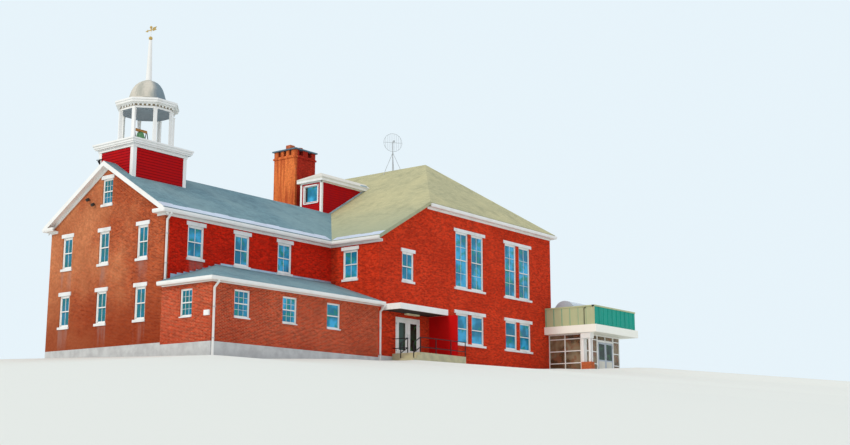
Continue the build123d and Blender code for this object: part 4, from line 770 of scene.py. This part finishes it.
def build_windows():
    """Sashes and glazing bars for every framed window, with roller shades behind some of them."""
    sashes, shades = bmesh.new(), bmesh.new()
    for index, (low, high) in enumerate(solid_boxes("window_frames")):
        if low[2] > dormer_low[2]:
            continue
        place = WallPlace(low, high)
        width, height = place.high[0] - place.low[0], place.high[1] - place.low[1]
        border, rail, bar, across, up = window_kind(width, height)
        left, right = place.low[0] + border, place.high[0] - border
        foot, head = place.low[1] + border, place.high[1] - border
        middle = (foot + head) / 2
        if border == SMALL_BORDER and low[0] > BARE_FROM_X:
            across = up = 1
        for sash_foot, sash_head, depth in (
            (middle - MEETING_RAIL / 2, head, UPPER_SASH),
            (foot, middle + MEETING_RAIL / 2, LOWER_SASH),
        ):
            whole_u, whole_v = (left, right), (sash_foot, sash_head)
            bar_depth = (depth[0], depth[1] - BAR_BACK)
            for u in ((left, left + rail), (right - rail, right)):
                place.beam(sashes, u, whole_v, depth)
            for v in ((sash_foot, sash_foot + rail), (sash_head - rail, sash_head)):
                place.beam(sashes, whole_u, v, depth)
            for column in range(1, across):
                u = left + (right - left) * column / across
                place.beam(sashes, (u - bar / 2, u + bar / 2), whole_v, bar_depth)
            for row in range(1, up):
                v = sash_foot + (sash_head - sash_foot) * row / up
                place.beam(sashes, whole_u, (v - bar / 2, v + bar / 2), bar_depth)
        drop = SHADE_DROPS[index * 7 % len(SHADE_DROPS)]
        if drop and border == BORDER:
            place.beam(shades, (left - SHADE_OVER, right + SHADE_OVER),
                       (head - (head - foot) * drop, head + SHADE_OVER), SHADE_BEHIND)
    piece("window_sashes", sashes, **TRIM)
    piece("roller_shades", shades, "shade_cloth")


build_windows()


# Belfry: lapped boards, corner boards, a stepped cornice, the lantern, its dome and the bell

BOARD_BUTT = 0.02
BOARD_HEAD = 0.006
BOARD_LAP = 1.12
CORNER_BOARD = 0.2
CORNER_PROUD = 0.03
CORE_INSET = 0.02
BASE_WEST, BASE_EAST = -17.30, -13.68
BASE_SOUTH, BASE_NORTH = -1.27, 1.52
CORNICE_STEPS = ((0.06, 0.0, 0.16), (0.20, 0.16, 0.24), (0.25, 0.24, 0.36), (0.30, 0.36, 0.45))


def board_wall(corner, turn, foot, head, height):
    """The mesh of one boarded wall face. Foot and head give where its boards start and end."""
    shape = bmesh.new()
    top = BOARD_EXPOSURE * BOARD_LAP
    section = ((0.0, 0.0), (-BOARD_BUTT, 0.0), (-BOARD_HEAD, top), (0.0, top))
    skin_rings(shape, [[shape.verts.new((x, y, z)) for y, z in section] for x in (0.0, 1.0)])
    board = add_object("lap_board", mesh_of("lap_board", shape))
    carrier = add_object("board_carrier", bpy.data.meshes.new("board_carrier"))
    return run_tree(carrier, BOARDS, board, "red_boards", {
        "Rows": max(2, round(height / BOARD_EXPOSURE)), "Exposure": BOARD_EXPOSURE,
        "Foot Start": foot[0], "Foot End": foot[1], "Head Start": head[0], "Head End": head[1],
        "Corner": corner, "Turn": (0.0, 0.0, math.radians(turn)),
    })


def boarded(walls):
    """One shape of several boarded wall faces."""
    shape = bmesh.new()
    for wall in walls:
        mesh = board_wall(*wall)
        shape.from_mesh(mesh)
        bpy.data.meshes.remove(mesh)
    return shape


def build_belfry_base():
    """The belfry's base, longer than it is wide: lapped boards, white corner boards and a stepped cornice."""
    foot, head = base_low[2], base_high[2]
    long, wide = BASE_EAST - BASE_WEST, BASE_NORTH - BASE_SOUTH
    walls = []
    for x, y, turn, run in ((BASE_WEST, BASE_SOUTH, 0, long), (BASE_EAST, BASE_SOUTH, 90, wide),
                            (BASE_EAST, BASE_NORTH, 180, long), (BASE_WEST, BASE_NORTH, 270, wide)):
        span = (CORNER_BOARD / 2, run - CORNER_BOARD / 2)
        walls.append(((x, y, foot), turn, span, span, head - foot))
    boards = boarded(walls)
    beam(boards, (BASE_WEST + CORE_INSET, BASE_SOUTH + CORE_INSET, foot),
         (BASE_EAST - CORE_INSET, BASE_NORTH - CORE_INSET, head))
    piece("belfry_boards", boards, "red_boards", slot="red_boards", replaces=("belfry_base",))
    corners = []
    for x, inward_x in ((BASE_WEST, 1), (BASE_EAST, -1)):
        for y, inward_y in ((BASE_SOUTH, 1), (BASE_NORTH, -1)):
            outer = (x - inward_x * CORNER_PROUD, y - inward_y * CORNER_PROUD)
            corners.append(((*outer, foot), (x + inward_x * CORNER_BOARD, y, head)))
            corners.append(((outer[0], y, foot), (x, y + inward_y * CORNER_BOARD, head)))
    stick_piece("belfry_corner_boards", corners, **TRIM)
    steps = [((BASE_WEST - out, BASE_SOUTH - out, cornice_foot + low),
              (BASE_EAST + out, BASE_NORTH + out, cornice_foot + high)) for out, low, high in CORNICE_STEPS]
    stick_piece("belfry_cornice_boards", steps, replaces=("belfry_cornice",), **TRIM)


DENTIL = (0.10, 0.06, 0.09)
DENTIL_SPACING = 0.2
DENTIL_OUT = 0.035
DRUM_RING = 1.48
DRUM_CORNICE = 0.206
FRIEZE = 0.10
EIGHTH = math.radians(22.5)
DOME_FOOT = ((1.05, 0.001), (1.32, 0.001), (1.31, 0.02), (1.25, 0.06), (1.21, 0.13), (1.19, 0.20),
             (1.05, 0.20))


def octagon(radius, height):
    """The corners of an octagon round the belfry, closed, with its flats to the four sides."""
    angles = [math.radians(22.5 + 45 * corner) for corner in range(9)]
    return [(belfry_x + radius * math.cos(angle), belfry_y + radius * math.sin(angle), height)
            for angle in angles]


def build_lantern():
    """Dentils on a shadow board, a ceiling in the open lantern, and the flared foot of the dome's sheets."""
    step = drum_foot + DRUM_CORNICE
    dentil = block("dentil", (-DENTIL[0] / 2, -DENTIL[1] / 2, 0.0), (DENTIL[0] / 2, DENTIL[1] / 2, DENTIL[2]))
    path = octagon(DRUM_RING + DENTIL_OUT, step - DENTIL[2])
    spread("belfry_dentils", zip(path, path[1:]), dentil, DENTIL_SPACING, **TRIM)
    middle = (belfry_x, belfry_y, 0.0)
    back, face, low = DRUM_RING - 0.02, DRUM_RING + 0.008, step - FRIEZE
    turned_piece("belfry_frieze_shadow", ((back, low), (face, low), (face, step), (back, step)), middle, 8,
                 "shadow_board", EIGHTH, ring=True, slot="white_paint")
    # The ceiling is grey-blue: painted shade in the open lantern.
    ceiling = ((DRUM_RING - 0.06, drum_foot - 0.03), (DRUM_RING - 0.04, drum_foot - 0.001))
    turned_piece("belfry_ceiling", ceiling, middle, 8, "lantern_ceiling", EIGHTH, slot="white_paint")
    turned_piece("dome_foot_sheet", DOME_FOOT, (belfry_x, belfry_y, drum_top), 48, "dome_sheet", ring=True,
                 slot="dome_metal")


POST_RING = 1.46
POST_SIZE = 0.17
DOME_SPREAD = 0.15


def build_posts():
    """Eight square posts at the lantern's corners, each turned to face outwards, with a foot and a neck."""
    posts = bmesh.new()
    tall = post_top - post_foot
    for x, y, z in octagon(POST_RING, post_foot)[:8]:
        turn = Matrix.Rotation(math.atan2(y - belfry_y, x - belfry_x), 4, "Z")
        for size, foot, head in ((POST_SIZE, 0.0, tall), (POST_SIZE + 0.05, 0.0, 0.10),
                                 (POST_SIZE + 0.03, tall - 0.07, tall - 0.02)):
            place = Matrix.Translation((x, y, z + (foot + head) / 2))
            scale = Matrix.Diagonal((size, size, head - foot, 1.0))
            bmesh.ops.create_cube(posts, size=1.0, matrix=place @ turn @ scale)
    piece("belfry_lantern_posts", posts, replaces=("belfry_posts",), **TRIM)


def build_dome():
    """The dome's sheets, spread a little at the foot from the plain solid."""
    shape = bmesh.new()
    shape.from_mesh(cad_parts["belfry_dome"].data)
    bmesh.ops.remove_doubles(shape, verts=shape.verts[:], dist=WELD)
    low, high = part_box("belfry_dome")
    for vert in shape.verts:
        share = (vert.co.z - low[2]) / (high[2] - low[2])
        grow = 1 + DOME_SPREAD * (1 - share * share)
        vert.co.x = belfry_x + (vert.co.x - belfry_x) * grow
        vert.co.y = belfry_y + (vert.co.y - belfry_y) * grow
    piece("belfry_dome_sheets", shape, "dome_sheet", slot="dome_metal", replaces=("belfry_dome",))


BELL_SET_BACK = 0.5
YOKE_HALF = 0.42
BELL = ((0.34, 0.58), (0.33, 0.62), (0.26, 0.70), (0.21, 0.84), (0.18, 0.96), (0.12, 1.03), (0.04, 1.06))


def build_bell():
    """A bronze bell that hangs from a wooden yoke between two dark stands."""
    x, y, foot = belfry_x, belfry_y + BELL_SET_BACK, post_foot
    turned_piece("belfry_bell", BELL, (x, y, foot), 32, "bronze")
    yoke = ((x - YOKE_HALF, y - 0.06, foot + 1.05), (x + YOKE_HALF, y + 0.06, foot + 1.18))
    stick_piece("bell_yoke", [yoke], "oak_yoke", 0.012)
    legs = [((end, y + lean * 0.30, foot), (end, y + lean * 0.02, foot + 1.12), 0.022)
            for end in (x - YOKE_HALF, x + YOKE_HALF) for lean in (-1, 1)]
    rod_piece("bell_stand", legs, "black_enamel")


build_belfry_base()
build_lantern()
build_posts()
build_dome()
build_bell()


# Dormer: boards, white trim, its window and the sheets at its foot

DORMER_CORNER = 0.12
FRONT_BOARDS = 1.2
CASING_PROUD = 0.035
STILE_BACK = 0.09
CHEEK_LINE = ((-0.585, 10.339), (2.972, 12.58))
CHEEK_RISES = (0.01, -0.01, 0.09, 0.14)


def build_dormer():
    """Lapped boards, corner boards and a fascia on the dormer."""
    (west, south, foot), (east, north, head) = dormer_low, dormer_high
    depth, width = east - west, north - south
    boards = boarded((
        ((west, south, foot), 0, (0.05, 0.2), (0.05, depth + 0.1), head - foot),
        ((east, north, foot), 180, (depth - 0.2, depth - 0.05), (-0.1, depth - 0.05), head - foot),
        ((west, north, foot), -90, (0.1, width - 0.1), (0.1, width - 0.1), FRONT_BOARDS),
    ))
    piece("dormer_boards", boards, "red_boards", slot="red_boards")
    corners = []
    for y, toward in ((south, 1), (north, -1)):
        outer = y - toward * CORNER_PROUD
        corners.append(((west - CORNER_PROUD, outer, foot), (west, y + toward * DORMER_CORNER, head)))
        corners.append(((west, outer, foot), (west + DORMER_CORNER, y, head)))
    stick_piece("dormer_corner_boards", corners, **TRIM)
    fascia = []
    for proud, drop in ((0.045, 0.07), (0.07, 0.03)):
        low = head - drop
        fascia.append(((west - proud, south - proud, low), (east - 0.05, south, head)))
        fascia.append(((west - proud, south - proud, low), (west, north + proud, head)))
        fascia.append(((west - proud, north, low), (east - 0.05, north + proud, head)))
    stick_piece("dormer_fascia", fascia, **TRIM)


def build_dormer_window():
    """A white casing round the dormer's window, and one pane with a dark stile."""
    (_, south, foot), (back, north, head) = next(
        box for box in solid_boxes("window_frames") if box[0][2] > dormer_low[2])
    face = dormer_low[0]
    front, inner, deep = face - CASING_PROUD, face + 0.03, face + 0.05
    stick_piece("dormer_window_casing", (
        ((front, south - 0.03, foot - 0.03), (face, south + 0.06, head + 0.03)),
        ((front, north - 0.06, foot - 0.03), (face, north + 0.03, head + 0.03)),
        ((front, south, head - 0.05), (face, north, head + 0.03)),
        ((inner, south, foot), (deep, south + STILE_BACK, head)),
        ((inner, north - STILE_BACK, foot), (deep, north, head)),
        ((inner, south, foot), (deep, north, foot + STILE_BACK)),
    ), **TRIM)
    stile = ((back - 0.07, north - 0.22, foot + STILE_BACK), (back - 0.058, north - STILE_BACK, head - 0.06))
    stick_piece("dormer_window_stile", [stile], "soffit")


def build_dormer_flashing():
    """Sheet flashing along the foot of each cheek, and the upstand box at the dormer's back."""
    shape = bmesh.new()
    line = (*CHEEK_LINE, *reversed(CHEEK_LINE))
    for y, out in ((dormer_low[1], -1), (dormer_high[1], 1)):
        skin_rings(shape, [[shape.verts.new((x, y + out * proud, z + rise))
                            for (x, z), rise in zip(line, CHEEK_RISES)] for proud in (0.025, 0.033)])
    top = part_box("dormer_cornice")[1]
    beam(shape, (top[0] - 0.62, dormer_low[1] - 0.17, top[2] - 0.06),
         (top[0] - 0.03, dormer_low[1] - 0.05, top[2] + 0.22))
    piece("dormer_flashing", shape, "flashing")


build_dormer()
build_dormer_window()
build_dormer_flashing()


# Eaves: pale metal along the foot of the slopes

EAVE_STRIP = 0.55
SHEET = 0.004
SHEET_LIFT = 0.006
SHEET_RUN = 0.95
SHEET_STEPS = (0.05, -0.04, 0.02, -0.02)
WING_RIDGE = (0.125, 10.58)
CATSLIDE_SLOPE = 0.564
ROOF_OVER = 0.28


def roof_sheet(shape, start, end, up, width):
    """A thin sheet from an eave line, going up the slope by width. Up is a unit vector."""
    out = (end - start).normalized().cross(up)
    if out.z < 0:
        out = -out
    corners = (start, end, end + up * width, start + up * width)
    skin_rings(shape, [[shape.verts.new(corner + out * lift) for corner in corners]
                       for lift in (SHEET_LIFT, SHEET_LIFT + SHEET)])


def eave_strip(shape, start, end, toward, slope):
    """Separate sheets along an eave, whose upper edges step a little. Toward is the way the slope rises."""
    start, line = Vector(start), Vector(end) - Vector(start)
    up = Vector((*toward, slope)).normalized()
    count = max(1, round(line.length / SHEET_RUN))
    for index in range(count):
        roof_sheet(shape, start + line * (index / count), start + line * ((index + 1) / count), up,
                   EAVE_STRIP + SHEET_STEPS[index % 4])


def build_eave_strips():
    """Pale metal strips along the wing's and the catslide's eaves."""
    shape = bmesh.new()
    south, north = gable_low[1] - ROOF_OVER, gable_high[1] + ROOF_OVER
    ridge_y, ridge_z = WING_RIDGE
    eave_z = ridge_z - WING_SLOPE * (ridge_y - south)
    valley_x = main_west - ROOF_OVER
    for y, toward in ((south, (0, 1)), (north, (0, -1))):
        eave_strip(shape, (wing_roof_west, y, eave_z), (valley_x, y, eave_z), toward, WING_SLOPE)
    cheek_x, cheek_z = CHEEK_LINE[0]
    catslide_z = cheek_z - CATSLIDE_SLOPE * (cheek_x - valley_x)
    eave_strip(shape, (valley_x, annex_low[1], catslide_z), (valley_x, south, catslide_z), (1, 0),
               CATSLIDE_SLOPE)
    piece("eave_strips", shape, "eave_sheet")


ANNEX_SLOPE = 0.339
ANNEX_SURFACE = 0.116
FLASHING_START = 0.35
FLASHING_STEP = 0.42
FLASHING_UP = 0.10
FLASHING_DOWN = 0.12
FLASHING_TOPS = ((-17.65, 4.19), (-16.62, 4.41), (-15.3, 4.73), (-13.67, 5.03), (-12.85, 5.12), (-5.33, 5.16))


def along_line(x, points):
    """The height at x on a line of (x, height) points, or None off its ends."""
    for (start, low), (end, high) in zip(points, points[1:]):
        if start <= x < end:
            return low + (high - low) * (x - start) / (end - start)
    return None


def build_annex_flashing():
    """Stepped sheets on the wing's wall along the head of the annex's roof."""
    sheets = []
    wall_y = annex_high[1]
    x = annex_low[0] + FLASHING_START
    while x < annex_high[0] - 0.05:
        end = min(x + FLASHING_STEP, annex_high[0])
        roof_z = min(annex_low[2] + ANNEX_SURFACE + ANNEX_SLOPE * (x - annex_low[0]), annex_high[2])
        top = max(roof_z + FLASHING_UP, along_line(x, FLASHING_TOPS) or 0.0)
        sheets.append(((x, wall_y - 0.012, roof_z - FLASHING_DOWN), (end, wall_y - 0.002, top)))
        x = end
    stick_piece("annex_flashing", sheets, "flashing")


build_eave_strips()
build_annex_flashing()


# Lobby: ribs, coping, teal skin and a pipe on the parapet

RIB_SPACING = 0.58
RIB_SHORT = 0.08
COPING = 0.10
COPING_OVER = 0.03
COPING_WIDE = 0.18
WEST_RUN_OVER = 3.6
PIPE = 0.018


def build_parapet():
    """Standing ribs round the lobby's parapet, dark lines between them, a coping, a teal skin and a pipe."""
    west, south, east = parapet_low[0] - 0.008, parapet_low[1] - 0.010, parapet_high[0] + 0.008
    foot, head = parapet_low[2], parapet_high[2]
    front = gable_low[1] - WEST_RUN_OVER
    corner = south + 0.02
    for name, path, width, proud, material in (
        ("parapet_ribs_west", ((west, front), (west, corner)), 0.05, 0.012, "ribbed_sheet"),
        ("parapet_grooves_west", ((west + 0.004, front - 0.06), (west + 0.004, corner)), 0.035, 0.006,
         "teal_sheet"),
        ("parapet_ribs_south", ((west + 0.02, south), (east, south), (east, lobby_back)), 0.03, 0.014,
         "teal_sheet"),
    ):
        rib = block("rib", (-width / 2, -proud, 0.0), (width / 2, proud, head - foot - RIB_SHORT))
        spread(name, [[(x, y, foot) for x, y in path]], rib, RIB_SPACING, material, slot="ribbed_panel")
    over, low = COPING_OVER, head - COPING
    stick_piece("parapet_coping", (
        ((west - over, south - over, low), (east + over, parapet_low[1] + COPING_WIDE, head)),
        ((west - over, parapet_low[1], low), (parapet_low[0] + COPING_WIDE, front, head)),
    ), "ribbed_sheet", slot="ribbed_panel")
    skin = ((parapet_low[0], parapet_low[1] - 0.006, foot), (parapet_high[0], parapet_low[1], low))
    stick_piece("parapet_south_skin", [skin], "teal_sheet", slot="ribbed_panel")
    x, y = parapet_low[0] - 0.045, parapet_low[1] + 0.76
    bend, end = (x, y, head - 0.2), (x, parapet_low[1] + 0.62, head - 0.12)
    rod_piece("parapet_pipe", (((x, y, foot), bend, PIPE), (bend, end, PIPE)), "black_enamel")


build_parapet()


# Doors: glass and pulls on the four leaves

KNUCKLE = 0.016
LEAF = 0.05
GLASS_SET_BACK = 0.021
PANE = 0.006
PULL_IN = 0.07
PULL_PROUD = 0.04
PANEL_IN = 0.09


def dress_leaf(name, body, left, stile, bottom_rail, panel):
    """Dark panes on both faces of a leaf, a pull by its meeting edge, and a panel in its bottom rail."""
    low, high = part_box(name)
    face, foot = high[1] - LEAF, low[2]
    x0 = low[0] + (KNUCKLE if left else 0.0)
    x1 = high[0] - (0.0 if left else KNUCKLE)
    stick_piece(name + "_panes", [
        ((x0 + stile, y, foot + bottom_rail), (x1 - stile, y + PANE, high[2] - stile))
        for y in (face + GLASS_SET_BACK - PANE, face + LEAF - GLASS_SET_BACK)
    ], "door_glass", body=body, slot="glass")
    x = x1 - PULL_IN if left else x0 + PULL_IN
    y = face - PULL_PROUD
    rod_piece(name + "_pull", (
        ((x, y, foot + 0.92), (x, y, foot + 1.18), 0.011),
        ((x, y, foot + 0.94), (x, face + 0.002, foot + 0.94), 0.009),
        ((x, y, foot + 1.16), (x, face + 0.002, foot + 1.16), 0.009),
    ), "galvanised", body=body, slot="grey_metal")
    if panel:
        board = ((x0 + stile, face - 0.006, foot + PANEL_IN),
                 (x1 - stile, face, foot + bottom_rail - PANEL_IN))
        stick_piece(name + "_panel", [board], "flat_roofing", 0.002, body=body, slot="white_paint")


for side in ("left", "right"):
    dress_leaf("entrance_door_" + side, "entrance_leaf_" + side, side == "left", 0.22, 0.25, False)
    dress_leaf("lobby_door_" + side, "lobby_leaf_" + side, side == "left", 0.12, 0.78, True)


# Small fittings on the walls

SOFFIT_IN = 0.09
LAMP_ENDS = (-3.07, -1.9)
FLOOD_LIGHTS = ((1.59, 8.71), (1.14, 8.39))
BRACKET_Y = 1.45
METER_BOX = ((-8.03, 1.90), (-7.67, 2.16))
STRAP_FIRST = 0.8
STRAP_SPACING = 1.5


def build_canopy_soffit():
    """A nearly black panel of painted shade under the entrance canopy, and the long lamp by the doors."""
    under, back = canopy_low[2], canopy_high[1]
    # Nearly black: painted shade under the canopy.
    panel = ((canopy_low[0] + SOFFIT_IN, canopy_low[1] + SOFFIT_IN, under - 0.006),
             (canopy_high[0] - SOFFIT_IN, back - 0.01, under + 0.001))
    stick_piece("canopy_soffit", [panel], "soffit")
    lamp = ((LAMP_ENDS[0], back - 0.32, under - 0.10), (LAMP_ENDS[1], back - 0.08, under - 0.006))
    stick_piece("canopy_lamp", [lamp], "lamp_lens", 0.012)


def build_fittings():
    """Flood lights on the gable, a bracket lamp on the belfry, a box on the annex and downspout straps."""
    face = gable_low[0]
    heads = []
    for y, z in FLOOD_LIGHTS:
        heads.append(((face, y, z), (face - 0.10, y, z + 0.02), 0.018))
        heads.append(((face - 0.08, y, z + 0.03), (face - 0.22, y, z - 0.05), 0.085, 16))
    rod_piece("gable_flood_lights", heads, "soffit")
    near, out = BASE_WEST - 0.02, BASE_WEST - 0.06
    rod_piece("belfry_bracket_lamp", (
        ((near, BRACKET_Y, 10.62), (out, BRACKET_Y, 10.98), 0.02),
        ((out, BRACKET_Y - 0.25, 10.96), (out, BRACKET_Y + 0.25, 10.98), 0.02),
        ((near, BRACKET_Y, 10.75), (BASE_WEST - 0.14, BRACKET_Y, 10.90), 0.05, 14),
    ), "black_enamel")
    (south, foot), (north, head) = METER_BOX
    stick_piece("annex_meter_box", [((face - 0.10, south, foot), (face, north, head))], "white_trim", 0.01)
    straps = []
    for low, high in solid_boxes("downspouts"):
        z = low[2] + STRAP_FIRST
        while z < high[2] - 0.3:
            straps.append(((low[0] - 0.012, high[1] - 0.11, z), (high[0] + 0.012, high[1], z + 0.03)))
            z += STRAP_SPACING
    stick_piece("downspout_straps", straps, "galvanised", slot="grey_metal")


build_canopy_soffit()
build_fittings()


# Ground and light

GROUND_FALL = 0.105
GROUND_REACH = 95.0
GROUND_STEPS = 240
GROUND_GAP = 0.012
NORTH_RISE = 0.035
SOUTH_LINE = -8.3
LANDING_OUT = 1.8
LOBBY_OUT = 3.6
LAWN_LEVELS = ((-18.0, 0.0), (-15.0, 0.0), (-11.5, 0.22), (-8.5, 0.40), (-5.0, 0.48), (0.3, 0.42), (4.6, 0.5),
               (9.1, 0.68), (12.2, 0.80), (18.0, 0.82))


def ease(value, low, high):
    """0 below low, 1 above high, and a smooth rise between."""
    share = min(max((value - low) / (high - low), 0.0), 1.0)
    return share * share * (3 - 2 * share)


def ground_height(x, y):
    """Lawn level: it rises towards the lobby and the north, and falls away from a flat strip at the walls."""
    low, high = cad_box
    level = along_line(x, LAWN_LEVELS)
    if level is None:
        level = LAWN_LEVELS[0][1] if x < LAWN_LEVELS[0][0] else LAWN_LEVELS[-1][1]
    level += NORTH_RISE * min(max(y + 8.0, 0.0), 20.0) * (1 - ease(x, -17.7, -10.0))
    landing = ease(x, -6.2, -4.6) * (1 - ease(x, 0.3, 1.8))
    south = SOUTH_LINE - LANDING_OUT * landing - LOBBY_OUT * ease(x, 9.6, 12.3)
    flat = 0.2 + 3.5 * ease(x, -1.0, 9.0)
    aside = math.hypot(max(low[0] + 0.3 - x, 0.0, x - high[0]), max(south - y, 0.0, y - high[1]))
    return level - GROUND_GAP - GROUND_FALL * max(aside - flat, 0.0)


def build_ground():
    """A plain pale lawn-shaped floor under and round the building."""
    shape = bmesh.new()
    spots = [-GROUND_REACH + 2 * GROUND_REACH * step / GROUND_STEPS for step in range(GROUND_STEPS + 1)]
    rows = [[shape.verts.new((x, y, ground_height(x, y))) for x in spots] for y in spots]
    for row, after in zip(rows, rows[1:]):
        for index in range(GROUND_STEPS):
            shape.faces.new((row[index], row[index + 1], after[index + 1], after[index]))
    mesh = bpy.data.meshes.new("ground")
    shape.to_mesh(mesh)
    shape.free()
    for face in mesh.polygons:
        face.use_smooth = True
    plain = bpy.data.materials.new("plain_floor")
    plain.use_nodes = True
    shader = plain.node_tree.nodes["Principled BSDF"]
    shader.inputs["Base Color"].default_value = (0.74, 0.76, 0.70, 1.0)
    shader.inputs["Roughness"].default_value = 0.95
    mesh.materials.append(plain)
    add_object("ground", mesh)


build_ground()

SUN_TURN = -93.0
SUN_HEIGHT = 32.0
SUN_POWER = 1.15
SUN_SPREAD = 9
SUN_COLOUR = (1.0, 0.93, 0.80)
SKY_LIGHT = ((0.88, 0.92, 1.0), 0.95)
SKY_SEEN = ((0.80, 0.90, 0.96), 1.0)


def set_light():
    """A soft warm sun on the gable side, and an even pale sky."""
    data = bpy.data.lights.new("sun", "SUN")
    data.energy = SUN_POWER
    data.angle = math.radians(SUN_SPREAD)
    data.color = SUN_COLOUR
    sun = add_object("sun", data)
    sun.rotation_euler = (math.radians(90 - SUN_HEIGHT), 0.0, math.radians(SUN_TURN))
    world = bpy.data.worlds.new("sky")
    bpy.context.scene.world = world
    world.use_nodes = True
    tree = world.node_tree
    tree.nodes.clear()
    light, seen = (feed_all(tree, tree.nodes.new("ShaderNodeBackground"), sky)
                   for sky in (SKY_LIGHT, SKY_SEEN))
    ray, mix, out = new_nodes(tree, "ShaderNodeLightPath", "ShaderNodeMixShader", "ShaderNodeOutputWorld")
    rays = ray.outputs
    either = maths(tree, "MAXIMUM", rays["Is Camera Ray"], rays["Is Glossy Ray"])
    shown = maths(tree, "MAXIMUM", either, rays["Is Transmission Ray"])
    link(tree, ((feed_all(tree, mix, (shown, light, seen)), out.inputs[0]),))


set_light()
bpy.context.scene.view_settings.view_transform = "Standard"
